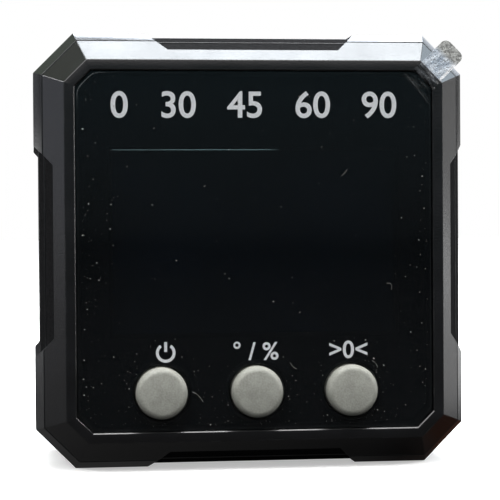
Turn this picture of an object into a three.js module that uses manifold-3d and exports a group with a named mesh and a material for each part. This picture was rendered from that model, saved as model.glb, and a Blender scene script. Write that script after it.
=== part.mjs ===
// A pocket digital inclinometer: a bevelled square housing with a window, a display and three
// push buttons in front, and a battery bay behind. It stands on any of its four edges, on two
// pads with a shallow recess between them.
// Millimetres, +Z up, the window faces -Y, and the origin is at the centre of the base.
import * as THREE from 'three';
import { mergeVertices } from 'three/addons/utils/BufferGeometryUtils.js';
import Module from 'manifold-3d';

// Body outline, as insets from the side pads
const bodySize = 54;
const faceInset = 3.7;
const partingInset = 1.05;
const bevelDepth = 3.6;
const lipDepth = 2.3;
const cornerCut = 4.9;
const rearBevel = 1.8;
const partingGap = 0.2;
const shellWall = 2.1;

// Recess in the middle of each side
const recessDepth = 0.6;
const recessBevelInset = 2.3;
const recessFacetDepth = 2.9;
const padWidth = 9.0;
const recessEndShare = 1.1;

// Layers behind the window, front to back
const lensSink = 0.4;
const lensThickness = 1.0;
const layerGap = 0.1;
const tapeThickness = 0.2;
const bezelFloor = 1.4;
const seatGap = 0.2;
const carrierDepth = 4.2;
const boardThickness = 1.2;
const componentRoom = 4.0;
const bayFloor = 1.2;
const cellGap = 0.75;
const rearWall = 1.8;

// Window, its tape and its protective film
const rimWidth = 1.25;
const lensCut = 2.0;
const lensClearance = 0.15;
const tapeInset = 0.5;
const tapeMargin = 0.5;
const filmInset = 0.3;
const filmThickness = 0.1;
const filmHoleGap = 0.5;

// Pull tab of the film, across the top right corner
const tabWidth = 3.0;
const tabThickness = 0.12;
const tabOnFilm = 2.4;
const tabRamp = 1.0;
const tabReach = 4.25;
const tabCurl = 0.35;
const tabCornerRadius = 0.8;

// Front shell's tongue, inside the rear shell
const tongueClearance = 0.4;
const tongueWall = 1.3;
const tongueDepth = 2.1;

// Display, its carrier, its backlight and its contact strip
const displayTopMargin = 9.8;
const displaySideMargin = 4.55;
const displayBorder = 1.6;
const displayLedge = 2.0;
const displayThickness = 1.8;
const carrierClearance = 0.2;
const carrierButtonGap = 0.25;
const carrierWall = 1.0;
const diffuserThickness = 1.9;
const diffuserInset = 0.6;
const stripHeight = 1.4;
const stripInset = 2.0;

// Push buttons
const capRadius = 3.15;
const capProud = 1.2;
const capEdge = 0.75;
const capCrown = 0.12;
const capClearance = 0.25;
const buttonPitchShare = 0.533;
const capBaseInset = 4.75;
const flangeWidth = 0.55;
const flangeThickness = 1.0;
const buttonTravel = 0.5;

// Push switches on the board
const switchSize = 6.0;
const switchDepth = 2.3;
const switchCorner = 0.6;
const plungerRadius = 1.6;
const plungerClearance = 0.2;
const plungerOverlap = 1.0;
const plungerGap = 0.1;

// Circuit board and its parts
const boardClearance = 0.5;
const boardCut = 3.6;
const processorSize = 7.0;
const processorDepth = 1.4;
const processorSide = 7.5;
const processorRise = 2.5;
const sensorSize = 4.0;
const sensorDepth = 1.0;
const sensorSide = 6.5;
const sensorRise = 3.0;
const crystalRadius = 1.2;
const crystalLength = 6.0;
const crystalDrop = 7.0;
const chipGap = 0.15;
const chipChamfer = 0.3;

// Screws and what they go into
const postInset = 7.2;
const bossRadius = 2.5;
const columnRadius = 3.0;
const screwRadius = 1.1;
const screwFit = 0.15;
const screwPassage = 0.3;
const screwHeadRadius = 2.2;
const screwHeadDepth = 1.6;
const screwHeadSink = 1.7;
const screwHeadGap = 0.4;
const screwTipGap = 0.4;
const screwPoint = 0.6;
const screwBlindWall = 0.6;
const crossWidth = 0.55;
const crossLength = 2.4;
const crossDepth = 0.8;
const boardScrewRadius = 0.8;
const boardScrewHeadRadius = 1.6;
const boardScrewHeadDepth = 1.1;
const boardScrewLength = 3.0;
const boardBossRadius = 1.8;
const boardBossInset = 0.8;
const boardCrossLength = 1.8;
const boardCrossDepth = 0.5;

// Battery cells and their bay
const cellRadius = 5.25;
const cellSideGap = 0.35;
const cellNippleRadius = 1.9;
const cellNippleLength = 0.8;
const cellEdge = 0.45;
const cellEndRecess = 0.25;
const cellEndRim = 0.9;
const bayWall = 1.2;
const bayMargin = 0.55;

// Contact plates, their rails, dimples and tails
const plateThickness = 0.4;
const plateGap = 0.3;
const plateHalf = 4.7;
const plateCut = 0.8;
const railLip = 0.6;
const railOverlap = 0.7;
const dimpleRadius = 1.6;
const dimpleTopRadius = 1.0;
const dimpleHeight = 0.5;
const tailHalf = 1.4;
const tailReach = 1.5;
const tailClearance = 0.4;

// Conical battery springs
const springRoom = 3.2;
const springWire = 0.5;
const springBaseRadius = 3.35;
const springTipRadius = 1.7;
const springTurns = 2;
const springGapLeast = 0.4;

// Leads from the contact tails to the board
const leadRadius = 0.5;
const leadRun = 2.2;
const leadBend = 2.0;

// Battery cover with hooks, latch, rib and grip
const coverThickness = 1.2;
const coverClearance = 0.25;
const openingMargin = 2.7;
const ledgeWidth = 0.8;
const ledgeHeight = 1.0;
const coverCorner = 1.2;
const hookShare = 0.62;
const hookHalf = 3.0;
const hookThickness = 1.0;
const hookNeck = 1.2;
const hookReach = 1.3;
const hookSwingRoom = 0.9;
const latchHalf = 4.0;
const latchReach = 0.6;
const ribHalf = 0.5;
const ribDepth = 3.4;
const ribLengthShare = 0.8;
const gripHalf = 4.5;
const gripWidth = 0.6;
const gripPitch = 1.4;
const gripDepth = 0.35;
const gripInset = 1.6;
const gripCount = 4;

// Disc magnets in the two base pads
const magnetRadius = 3.0;
const magnetThickness = 2.0;
const magnetSink = 0.1;
const magnetClearance = 0.2;
const magnetSpacing = 9.0;
const magnetBossMargin = 1.2;
const magnetBossWall = 1.1;
const magnetChamfer = 0.2;

// Every cut runs past its face by this much, and every joined piece starts this deep
const overrun = 1.0;
const weldDepth = 0.4;

// Facets
const roundSides = 32;
const smallSides = 14;
const arcSteps = 5;
const leadSides = 8;
const leadSteps = 10;
const springSteps = 8;
const springSides = 5;

// Depths below the front face
const lensBack = lensSink + lensThickness;
const tapeFront = lensBack + layerGap;
const tapeBack = tapeFront + tapeThickness;
const bezelFront = tapeBack + layerGap;
const bezelBack = bezelFront + bezelFloor;
const displayFront = bezelBack + seatGap;
const carrierBack = displayFront + carrierDepth;
const boardFront = carrierBack + seatGap;
const boardBack = boardFront + boardThickness;
const bayFront = boardBack + componentRoom;
const bayBack = bayFront + bayFloor;
const cellAxis = bayBack + cellGap + cellRadius;
const panelFront = cellAxis + cellRadius + cellGap;
const bodyDepth = panelFront + rearWall;
const coverFront = bodyDepth - coverThickness;
const ledgeBack = coverFront - seatGap;

// Half widths, from the middle of the face
const bodyHalf = bodySize / 2;
const faceHalf = bodyHalf - faceInset;
const rearHalf = bodyHalf - rearBevel;
const innerHalf = bodyHalf - shellWall;
const tongueHalf = innerHalf - tongueClearance;
const tongueInnerHalf = tongueHalf - tongueWall;
const openingHalf = faceHalf - rimWidth;
const lensHalf = openingHalf - lensClearance;
const boardHalf = tongueInnerHalf - boardClearance;
const postOffset = bodyHalf - postInset;
const padEdge = bodyHalf - cornerCut - padWidth;
const buttonPitch = openingHalf * buttonPitchShare;
const buttonRow = capBaseInset - openingHalf;
const buttonPlaces = [-buttonPitch, 0, buttonPitch];
const holeRadius = capRadius + capClearance;
const flangeRadius = capRadius + flangeWidth;

// The display fills the height between its top margin and the buttons' flanges
const viewHalf = openingHalf - displaySideMargin;
const viewTop = openingHalf - displayTopMargin;
const displayHalf = viewHalf + displayBorder;
const displayTop = viewTop + displayBorder;
const carrierBottom = buttonRow + flangeRadius + carrierButtonGap;
const displayBottom = carrierBottom + carrierWall + carrierClearance;
const viewBottom = displayBottom + displayLedge;

// Battery bay, from the middle of the face
const cellOffset = cellRadius + cellSideGap;
const bayHalf = cellOffset + cellRadius + bayMargin;
const plateFace = innerHalf - plateGap - plateThickness;
const cellTip = plateFace - dimpleHeight - seatGap;
const cellEnd = springRoom - plateFace;
const cellLength = cellTip - cellEnd;
const doorHalf = rearHalf - openingMargin;
const rebateHalf = doorHalf + ledgeWidth;
const rebateHeight = bayHalf + ledgeHeight;
const coverHalf = rebateHalf - coverClearance;
const coverHeight = rebateHeight - coverClearance;

// A cut corner keeps the same margin all round when the outline moves in
const cornerShare = 2 - Math.SQRT2;
const cutAt = half => cornerCut - (bodyHalf - half) * cornerShare;

const wasm = await Module();
wasm.setup();

// Closed solid of a geometry: shared vertices are merged, and triangles without area dropped
function solid(geometry) {
  geometry.deleteAttribute('normal');
  geometry.deleteAttribute('uv');
  const merged = mergeVertices(geometry);
  const corners = merged.index.array;
  const kept = [];
  for (let i = 0; i < corners.length; i += 3) {
    const [a, b, c] = corners.slice(i, i + 3);
    if (a !== b && b !== c && c !== a) {
      kept.push(a, b, c);
    }
  }
  return new wasm.Manifold(new wasm.Mesh({
    numProp: 3,
    vertProperties: new Float32Array(merged.attributes.position.array),
    triVerts: new Uint32Array(kept),
  }));
}

// Drawable geometry of a solid
function drawn(body) {
  const mesh = body.getMesh();
  const geometry = new THREE.BufferGeometry();
  geometry.setAttribute('position', new THREE.BufferAttribute(mesh.vertProperties, 3));
  geometry.setIndex(new THREE.BufferAttribute(mesh.triVerts, 1));
  geometry.computeVertexNormals();
  return geometry;
}

// Outline drawn face on, extruded from one depth to another
function slab(shape, front, back) {
  const settings = { depth: back - front, bevelEnabled: false, curveSegments: arcSteps };
  const geometry = new THREE.ExtrudeGeometry(shape, settings);
  geometry.rotateX(Math.PI / 2);
  geometry.translate(0, back, 0);
  return solid(geometry);
}

function block(left, right, front, back, bottom, top) {
  const geometry = new THREE.BoxGeometry(right - left, back - front, top - bottom);
  geometry.translate((left + right) / 2, (front + back) / 2, (bottom + top) / 2);
  return solid(geometry);
}

function drum(radius, front, back, x, z, sides = smallSides) {
  const geometry = new THREE.CylinderGeometry(radius, radius, back - front, sides);
  geometry.translate(x, (front + back) / 2, z);
  return solid(geometry);
}

// Revolved piece about its own depth axis, from [radius, depth] pairs listed front to back
function turned(profile, sides = roundSides) {
  const points = profile.map(([radius, depth]) => new THREE.Vector2(radius, depth));
  return solid(new THREE.LatheGeometry(points, sides));
}

// Square with cut corners, as points in turn
function cutSquare(half, cut) {
  const near = half - cut;
  return [
    [half, -near], [half, near], [near, half], [-near, half],
    [-half, near], [-half, -near], [-near, -half], [near, -half],
  ];
}

function cutSquareShape(half, cut) {
  return new THREE.Shape(cutSquare(half, cut).map(([x, z]) => new THREE.Vector2(x, z)));
}

// Rectangle with cut corners, centred
function plateShape(halfWidth, halfHeight, cut) {
  const shape = new THREE.Shape();
  shape.moveTo(halfWidth - cut, -halfHeight);
  shape.lineTo(halfWidth, cut - halfHeight);
  shape.lineTo(halfWidth, halfHeight - cut);
  shape.lineTo(halfWidth - cut, halfHeight);
  shape.lineTo(cut - halfWidth, halfHeight);
  shape.lineTo(-halfWidth, halfHeight - cut);
  shape.lineTo(-halfWidth, cut - halfHeight);
  shape.lineTo(cut - halfWidth, -halfHeight);
  return shape;
}

// Solid through a row of rings with equally many points each, closed by flat ends
function loft(rings) {
  const count = rings[0].length;
  const triangles = [];
  for (let r = 0; r + 1 < rings.length; r += 1) {
    for (let i = 0; i < count; i += 1) {
      const next = (i + 1) % count;
      triangles.push(rings[r][i], rings[r][next], rings[r + 1][next]);
      triangles.push(rings[r][i], rings[r + 1][next], rings[r + 1][i]);
    }
  }
  const last = rings[rings.length - 1];
  for (let i = 1; i + 1 < count; i += 1) {
    triangles.push(rings[0][0], rings[0][i + 1], rings[0][i]);
    triangles.push(last[0], last[i], last[i + 1]);
  }
  return solid(new THREE.BufferGeometry().setFromPoints(triangles));
}

// Outer form of the housing through [half width, depth] pairs listed front to back
function housingForm(sections) {
  return loft(sections.map(([half, depth]) => cutSquare(half, cutAt(half))
    .map(([x, z]) => new THREE.Vector3(x, depth, z)).reverse()));
}

// Half width of the housing at a depth on the front bevel or on the lip behind the parting line
function outlineAt(depth) {
  if (depth <= bevelDepth) {
    return faceHalf + (faceInset - partingInset) * depth / bevelDepth;
  }
  return bodyHalf - partingInset + partingInset * (depth - bevelDepth) / lipDepth;
}

// Space of the recess on the right side: facet, floor and slanted ends
function sideRecess() {
  const facetStart = bevelDepth * (faceInset - recessBevelInset) / (faceInset - partingInset);
  const facetSlope = (recessBevelInset - recessDepth) / recessFacetDepth;
  const floorHalf = bodyHalf - recessDepth;
  const outside = bodyHalf + overrun;
  const front = -overrun;
  const back = bodyDepth + overrun;
  const profile = new THREE.Shape([
    new THREE.Vector2(bodyHalf - recessBevelInset - facetSlope * (facetStart - front), front),
    new THREE.Vector2(outside, front),
    new THREE.Vector2(outside, back),
    new THREE.Vector2(floorHalf, back),
    new THREE.Vector2(floorHalf, facetStart + recessFacetDepth),
  ]);
  const run = new THREE.ExtrudeGeometry(profile, { depth: bodySize, bevelEnabled: false });
  run.translate(0, 0, -bodyHalf);
  const halfLengthAt = half => padEdge + recessEndShare * (half - bodyHalf);
  const inside = faceHalf - overrun;
  const plan = new THREE.Shape([
    new THREE.Vector2(inside, -halfLengthAt(inside)),
    new THREE.Vector2(outside, -halfLengthAt(outside)),
    new THREE.Vector2(outside, halfLengthAt(outside)),
    new THREE.Vector2(inside, halfLengthAt(inside)),
  ]);
  return solid(run).intersect(slab(plan, front, back));
}

// The same recess on all four sides
function sideRecesses() {
  const one = sideRecess();
  const quarterTurns = [0, 90, 180, 270];
  return quarterTurns.map(turn => one.rotate([0, turn, 0]));
}

function cutAll(body, cutters) {
  return cutters.reduce((rest, cutter) => rest.subtract(cutter), body);
}

function joinAll(pieces) {
  return pieces.reduce((sum, piece) => sum.add(piece));
}

// The four corners at a distance from the middle of the face
function corners(offset) {
  return [[offset, offset], [-offset, offset], [-offset, -offset], [offset, -offset]];
}

// Board screws: two above the display, two between the switches
const boardScrewRow = tongueInnerHalf - boardBossInset - boardBossRadius;
const boardScrewPlaces = [
  [buttonPitch, boardScrewRow],
  [-buttonPitch, boardScrewRow],
  [-buttonPitch / 2, -boardScrewRow],
  [buttonPitch / 2, -boardScrewRow],
];

// Front shell: bevelled bezel with the window's seat, the tongue and the screw bosses
function frontHousing() {
  const end = bevelDepth - partingGap / 2;
  const form = housingForm([[faceHalf, 0], [outlineAt(end), end]]);
  const seat = slab(cutSquareShape(openingHalf, lensCut), -overrun, bezelFront);
  const tongueBack = end + tongueDepth;
  const tongueInner = cutSquareShape(tongueInnerHalf, cutAt(tongueInnerHalf));
  const behind = slab(tongueInner, bezelBack, end + overrun);
  const tongue = slab(cutSquareShape(tongueHalf, cutAt(tongueHalf)), bezelBack - weldDepth, tongueBack)
    .subtract(slab(tongueInner, bezelBack, tongueBack + overrun));
  const bosses = corners(postOffset)
    .map(([x, z]) => drum(bossRadius, bezelBack - weldDepth, carrierBack, x, z));
  const boardBosses = boardScrewPlaces
    .map(([x, z]) => drum(boardBossRadius, bezelBack - weldDepth, carrierBack, x, z));
  const holeFront = bezelFront + screwBlindWall;
  const holeBack = carrierBack + overrun;
  const screwHoles = corners(postOffset)
    .map(([x, z]) => drum(screwRadius + screwFit, holeFront, holeBack, x, z));
  const boardHoles = boardScrewPlaces
    .map(([x, z]) => drum(boardScrewRadius + screwFit, holeFront, holeBack, x, z));
  const buttonHoles = buttonPlaces
    .map(x => drum(holeRadius, bezelFront - overrun, bezelBack + overrun, x, buttonRow, roundSides));
  const view = block(-viewHalf, viewHalf, bezelFront - overrun, bezelBack + overrun, viewBottom, viewTop);
  const shell = cutAll(form, [seat, behind]);
  const whole = joinAll([shell, tongue, ...bosses, ...boardBosses]);
  return cutAll(whole, [...sideRecesses(), view, ...screwHoles, ...boardHoles, ...buttonHoles]);
}

// Magnet places on the base: one pair on each pad, side by side in depth
const padMiddle = padEdge + padWidth / 2;
const magnetDepths = [-magnetSpacing / 2, magnetSpacing / 2].map(step => (bodyDepth + lipDepth) / 2 + step);

function magnetPockets() {
  const depth = magnetSink + magnetThickness + seatGap;
  const pockets = [];
  for (const side of [-padMiddle, padMiddle]) {
    for (const along of magnetDepths) {
      const radius = magnetRadius + magnetClearance;
      const geometry = new THREE.CylinderGeometry(radius, radius, depth + overrun, roundSides);
      geometry.rotateX(Math.PI / 2);
      geometry.translate(side, along, (depth - overrun) / 2 - bodyHalf);
      pockets.push(solid(geometry));
    }
  }
  return pockets;
}

// Thickened wall over the magnets of each pad
function magnetBosses() {
  const reach = magnetRadius + magnetClearance + magnetBossMargin;
  const top = magnetSink + magnetThickness + seatGap + magnetBossWall - bodyHalf;
  const [front, back] = magnetDepths;
  return [-padMiddle, padMiddle].map(side => block(
    side - reach, side + reach, front - reach, back + reach, -innerHalf - weldDepth, top));
}

// Battery bay: floor and two long walls, open to the rear
function bayBody() {
  const length = innerHalf + weldDepth;
  const back = panelFront + weldDepth;
  const outer = bayHalf + bayWall;
  const floor = block(-length, length, bayFront, bayBack, -outer, outer);
  const upper = block(-length, length, bayFront, back, bayHalf, outer);
  const lower = block(-length, length, bayFront, back, -outer, -bayHalf);
  return joinAll([floor, upper, lower]);
}

// Rail beside a contact plate: a wall along its edge, with a lip over its face
function plateRails() {
  const face = plateFace - seatGap;
  const outer = innerHalf + weldDepth;
  const front = bayBack - weldDepth;
  const back = cellAxis + plateHalf;
  const edge = plateHalf + seatGap;
  const lip = plateHalf - railOverlap;
  const wallEnd = bayHalf + weldDepth;
  const middle = cellOffset - edge;
  const pieces = [];
  for (const side of [-1, 1]) {
    const near = side > 0 ? cellOffset + edge : -wallEnd;
    const far = side > 0 ? wallEnd : -cellOffset - edge;
    const lipNear = side > 0 ? cellOffset + lip : -wallEnd;
    const lipFar = side > 0 ? wallEnd : -cellOffset - lip;
    pieces.push(block(face - railLip, outer, front, back, near, far));
    pieces.push(block(face - railLip, face, front, back, lipNear, lipFar));
    pieces.push(block(-outer, railLip - face, front, back, near, far));
    pieces.push(block(-face, railLip - face, front, back, lipNear, lipFar));
  }
  pieces.push(block(face - railLip, outer, front, back, -middle, middle));
  pieces.push(block(face - railLip, face, front, back, lip - cellOffset, cellOffset - lip));
  return pieces;
}

// Openings of the rear panel: cell opening, rebate of the cover, its hooks and its latch
function coverCuts() {
  const front = panelFront - weldDepth;
  const back = bodyDepth + overrun;
  const opening = block(-doorHalf, doorHalf, front, back, -bayHalf, bayHalf);
  const rebate = slab(plateShape(rebateHalf, rebateHeight, coverCorner), ledgeBack, back);
  const latchWidth = latchHalf + coverClearance;
  const latchTop = coverHeight + latchReach + coverClearance;
  const latch = block(-latchWidth, latchWidth, ledgeBack, back, 0, latchTop);
  const hooks = [-hookShare, hookShare].flatMap(share => {
    const x = share * coverHalf;
    const left = x - hookHalf - coverClearance;
    const right = x + hookHalf + coverClearance;
    const deep = coverFront - hookThickness - hookNeck - hookSwingRoom;
    const bottom = -coverHeight - hookReach - coverClearance;
    return [
      block(left, right, deep, panelFront, bottom, -bayHalf + weldDepth),
      block(left, right, deep, ledgeBack + overrun, -rebateHeight, -bayHalf + weldDepth),
    ];
  });
  return [opening, rebate, latch, ...hooks];
}

// Slots in the bay floor for the tails of the two end contacts
function tailSlots() {
  return [-cellOffset, cellOffset].map(z => block(
    plateFace - tailClearance, innerHalf, bayFront - overrun, bayBack + overrun,
    z - tailHalf - tailClearance, z + tailHalf + tailClearance));
}

// Depth at which the head of a housing screw seats, well below the rear face
const headSeat = bodyDepth - screwHeadSink - screwHeadDepth - seatGap;

// Rear shell: deep tub with screw columns, battery bay, magnets' bosses and the cover's opening
function rearHousing() {
  const start = bevelDepth + partingGap / 2;
  const form = housingForm([
    [outlineAt(start), start],
    [bodyHalf, bevelDepth + lipDepth],
    [bodyHalf, bodyDepth - rearBevel],
    [rearHalf, bodyDepth],
  ]);
  const room = slab(cutSquareShape(innerHalf, cutAt(innerHalf)), start - overrun, panelFront);
  const columns = corners(postOffset)
    .map(([x, z]) => drum(columnRadius, boardBack + seatGap, panelFront + weldDepth, x, z));
  const passages = corners(postOffset)
    .map(([x, z]) => drum(screwRadius + screwPassage, boardBack, bodyDepth, x, z));
  const headHoles = corners(postOffset)
    .map(([x, z]) => drum(screwHeadRadius + screwHeadGap, headSeat, bodyDepth + overrun, x, z, roundSides));
  const whole = joinAll([form.subtract(room), bayBody(), ...plateRails(), ...columns, ...magnetBosses()]);
  const cuts = [...sideRecesses(), ...coverCuts(), ...tailSlots(), ...passages, ...headHoles];
  return cutAll(whole, [...cuts, ...magnetPockets()]);
}

// Window: clear plate with three button holes
function frontLens() {
  const plate = slab(cutSquareShape(lensHalf, lensCut), lensSink, lensBack);
  return cutAll(plate, buttonPlaces
    .map(x => drum(holeRadius, lensSink - overrun, lensBack + overrun, x, buttonRow, roundSides)));
}

// Adhesive frame behind the window, open over the display and round the buttons
function lensTape() {
  const half = lensHalf - tapeInset;
  const sheet = slab(cutSquareShape(half, lensCut), tapeFront, tapeBack);
  const front = tapeFront - overrun;
  const back = tapeBack + overrun;
  const right = viewHalf + tapeMargin;
  const view = block(-right, right, front, back, viewBottom - tapeMargin, viewTop + tapeMargin);
  const holes = buttonPlaces
    .map(x => drum(holeRadius + tapeMargin, front, back, x, buttonRow, roundSides));
  return cutAll(sheet, [view, ...holes]);
}

// Clear film on the window, punched round the buttons
const filmHalf = lensHalf - filmInset;
const filmBack = lensSink - layerGap;

function protectiveFilm() {
  const front = filmBack - filmThickness;
  const sheet = slab(cutSquareShape(filmHalf, lensCut), front, filmBack);
  return cutAll(sheet, buttonPlaces
    .map(x => drum(capRadius + filmHoleGap, front - overrun, filmBack + overrun, x, buttonRow, roundSides)));
}

// Pull tab: rises off the film over the rim and stands out past the cut corner
function pullTab() {
  const rimEdge = (2 * openingHalf - lensCut) / Math.SQRT2;
  const faceEdge = (2 * faceHalf - cutAt(faceHalf)) / Math.SQRT2;
  const start = rimEdge - tabRamp - tabOnFilm;
  const end = faceEdge + tabReach;
  const low = filmBack - filmThickness - layerGap;
  const high = -layerGap;
  const line = [
    [start, low], [rimEdge - tabRamp, low], [rimEdge, high], [faceEdge, high], [end, high - tabCurl],
  ];
  const back = line.map(([along, depth]) => new THREE.Vector2(along, depth));
  const front = line.map(([along, depth]) => new THREE.Vector2(along, depth - tabThickness)).reverse();
  const profile = new THREE.Shape([...back, ...front]);
  const strip = new THREE.ExtrudeGeometry(profile, { depth: tabWidth, bevelEnabled: false });
  strip.translate(0, 0, -tabWidth / 2);
  const halfWidth = tabWidth / 2;
  const plan = new THREE.Shape();
  plan.moveTo(start, -halfWidth);
  plan.lineTo(end - tabCornerRadius, -halfWidth);
  plan.absarc(end - tabCornerRadius, tabCornerRadius - halfWidth, tabCornerRadius, -Math.PI / 2, 0, false);
  plan.absarc(end - tabCornerRadius, halfWidth - tabCornerRadius, tabCornerRadius, 0, Math.PI / 2, false);
  plan.lineTo(start, halfWidth);
  return solid(strip).intersect(slab(plan, -overrun, lensSink + overrun));
}

// Display: full front glass and a shorter rear glass, which leaves a contact ledge below
function displayPanel() {
  const middle = displayFront + displayThickness / 2;
  const back = displayFront + displayThickness;
  const bottom = displayBottom + displayLedge;
  const profile = new THREE.Shape([
    new THREE.Vector2(displayFront, displayBottom),
    new THREE.Vector2(middle, displayBottom),
    new THREE.Vector2(middle, bottom),
    new THREE.Vector2(back, bottom),
    new THREE.Vector2(back, displayTop),
    new THREE.Vector2(displayFront, displayTop),
  ]);
  const glass = new THREE.ExtrudeGeometry(profile, { depth: 2 * displayHalf, bevelEnabled: false });
  glass.translate(0, 0, -displayHalf);
  // The profile lies in depth and height, so its run is turned to lie along the width
  glass.applyMatrix4(new THREE.Matrix4().makeBasis(
    new THREE.Vector3(0, 1, 0), new THREE.Vector3(0, 0, 1), new THREE.Vector3(1, 0, 0)));
  return solid(glass);
}

// Carrier frame round the display
function displayCarrier() {
  const inner = displayHalf + carrierClearance;
  const top = displayTop + carrierClearance;
  const bottom = displayBottom - carrierClearance;
  const wall = carrierWall;
  const frame = block(-inner - wall, inner + wall, displayFront, carrierBack, bottom - wall, top + wall);
  return frame.subtract(
    block(-inner, inner, displayFront - overrun, carrierBack + overrun, bottom, top));
}

function backlightDiffuser() {
  const half = displayHalf - diffuserInset;
  const front = displayFront + displayThickness + seatGap;
  const bottom = displayBottom + displayLedge + diffuserInset;
  return block(-half, half, front, front + diffuserThickness, bottom, displayTop - diffuserInset);
}

// Rubber contact strip between the display's ledge and the board
function contactStrip() {
  const half = displayHalf - stripInset;
  const front = displayFront + displayThickness / 2 + seatGap;
  const bottom = displayBottom + (displayLedge - stripHeight) / 2;
  return block(-half, half, front, carrierBack, bottom, bottom + stripHeight);
}

function mainBoard() {
  const board = slab(cutSquareShape(boardHalf, boardCut), boardFront, boardBack);
  const front = boardFront - overrun;
  const back = boardBack + overrun;
  const large = corners(postOffset).map(([x, z]) => drum(screwRadius + screwPassage, front, back, x, z));
  const small = boardScrewPlaces
    .map(([x, z]) => drum(boardScrewRadius + screwPassage, front, back, x, z));
  return cutAll(board, [...large, ...small]);
}

// Button cap about its own axis: crowned face, rounded edge, straight skirt and a holding flange
function buttonCap() {
  const profile = [[0, -capProud]];
  for (let i = 0; i <= arcSteps; i += 1) {
    const turn = (Math.PI / 2) * (i / arcSteps);
    const radius = capRadius - capEdge + capEdge * Math.sin(turn);
    const depth = capCrown - capProud + capEdge * (1 - Math.cos(turn));
    profile.push([radius, depth]);
  }
  const flangeBack = displayFront + flangeThickness;
  profile.push([capRadius, displayFront], [flangeRadius, displayFront]);
  profile.push([flangeRadius, flangeBack], [0, flangeBack]);
  return turned(profile);
}

// Switch body and plunger about their own axis
const switchBack = carrierBack;
const switchFront = switchBack - switchDepth;

function switchBody() {
  const half = switchSize / 2;
  const can = slab(cutSquareShape(half, switchCorner), switchFront, switchBack);
  const well = plungerOverlap + buttonTravel + plungerClearance;
  return can.subtract(
    drum(plungerRadius + plungerClearance, switchFront - overrun, switchFront + well, 0, 0));
}

function switchPlunger() {
  const front = displayFront + flangeThickness + plungerGap;
  const back = switchFront + plungerOverlap;
  const edge = plungerClearance;
  return turned([
    [0, front], [plungerRadius - edge, front], [plungerRadius, front + edge],
    [plungerRadius, back], [0, back],
  ], smallSides);
}

// Chip with a chamfered top, about its own middle, standing on the back of the board
function chip(size, depth) {
  const half = size / 2;
  const front = boardBack + chipGap;
  const square = (reach, level) => cutSquare(reach, chipChamfer)
    .map(([x, z]) => new THREE.Vector3(x, level, z)).reverse();
  return loft([
    square(half, front),
    square(half, front + depth - chipChamfer),
    square(half - chipChamfer, front + depth),
  ]);
}

// Crystal can with rounded ends, lying on the board along the width
function crystalCan() {
  const edge = chipChamfer;
  return turned([
    [0, 0], [crystalRadius - edge, 0], [crystalRadius, edge], [crystalRadius, crystalLength - edge],
    [crystalRadius - edge, crystalLength], [0, crystalLength],
  ], smallSides);
}

// Pan head screw about its own axis with a cross recess, its tip towards the front
function panScrew(tip, seat, radius, headRadius, headDepth, slotLength, slotDepth) {
  const edge = headDepth / 3;
  const back = seat + headDepth;
  const point = radius * screwPoint;
  const body = turned([
    [0, tip], [point, tip], [radius, tip + radius], [radius, seat], [headRadius, seat],
    [headRadius, back - edge], [headRadius - edge, back], [0, back],
  ], smallSides);
  const half = slotLength / 2;
  const thin = crossWidth / 2;
  const floor = back - slotDepth;
  return cutAll(body, [
    block(-half, half, floor, back + overrun, -thin, thin),
    block(-thin, thin, floor, back + overrun, -half, half),
  ]);
}

function housingScrew() {
  const tip = bezelFront + screwBlindWall + screwTipGap;
  return panScrew(tip, headSeat + seatGap, screwRadius, screwHeadRadius, screwHeadDepth,
    crossLength, crossDepth);
}

function boardScrew() {
  const seat = boardBack + seatGap;
  const tip = seat - boardThickness - boardScrewLength;
  return panScrew(tip, seat, boardScrewRadius, boardScrewHeadRadius, boardScrewHeadDepth,
    boardCrossLength, boardCrossDepth);
}

// Round cell about its own axis, from the flat end at 0 to the tip of the nipple
function batteryCell() {
  const shoulder = cellLength - cellNippleLength;
  const rim = cellRadius - cellEndRim;
  return turned([
    [0, cellEndRecess], [rim, cellEndRecess], [rim, 0], [cellRadius - cellEdge, 0],
    [cellRadius, cellEdge], [cellRadius, shoulder - cellEdge], [cellRadius - cellEdge, shoulder],
    [cellNippleRadius, shoulder], [cellNippleRadius, cellLength - cellEdge / 2],
    [cellNippleRadius - cellEdge / 2, cellLength], [0, cellLength],
  ]);
}

// Centre line of the conical spring: a straight end, the turns, and a straight end
function springLine() {
  const length = springRoom - 2 * seatGap;
  const steps = springTurns * springSteps;
  const line = [new THREE.Vector3(springBaseRadius, 0, 0)];
  for (let i = 0; i <= steps; i += 1) {
    const share = i / steps;
    const turn = share * springTurns * 2 * Math.PI;
    const radius = springBaseRadius + (springTipRadius - springBaseRadius) * share;
    const along = springWire + (length - 2 * springWire) * share;
    line.push(new THREE.Vector3(radius * Math.cos(turn), along, radius * Math.sin(turn)));
  }
  line.push(new THREE.Vector3(springTipRadius, length, 0));
  return line;
}

// Round tube along a line of points, with rings carried on without twist
function tube(line, radius, sides) {
  const last = line.length - 1;
  const rings = [];
  let across = new THREE.Vector3(0, 0, 1);
  line.forEach((point, i) => {
    const before = line[Math.max(i - 1, 0)];
    const after = line[Math.min(i + 1, last)];
    const along = after.clone().sub(point).normalize().add(point.clone().sub(before).normalize());
    along.normalize();
    across = across.clone().addScaledVector(along, -across.dot(along)).normalize();
    const other = along.clone().cross(across);
    const ring = [];
    for (let s = 0; s < sides; s += 1) {
      const turn = 2 * Math.PI * s / sides;
      ring.push(point.clone()
        .addScaledVector(across, radius * Math.cos(turn))
        .addScaledVector(other, radius * Math.sin(turn)));
    }
    rings.push(ring);
  });
  return loft(rings);
}

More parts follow.
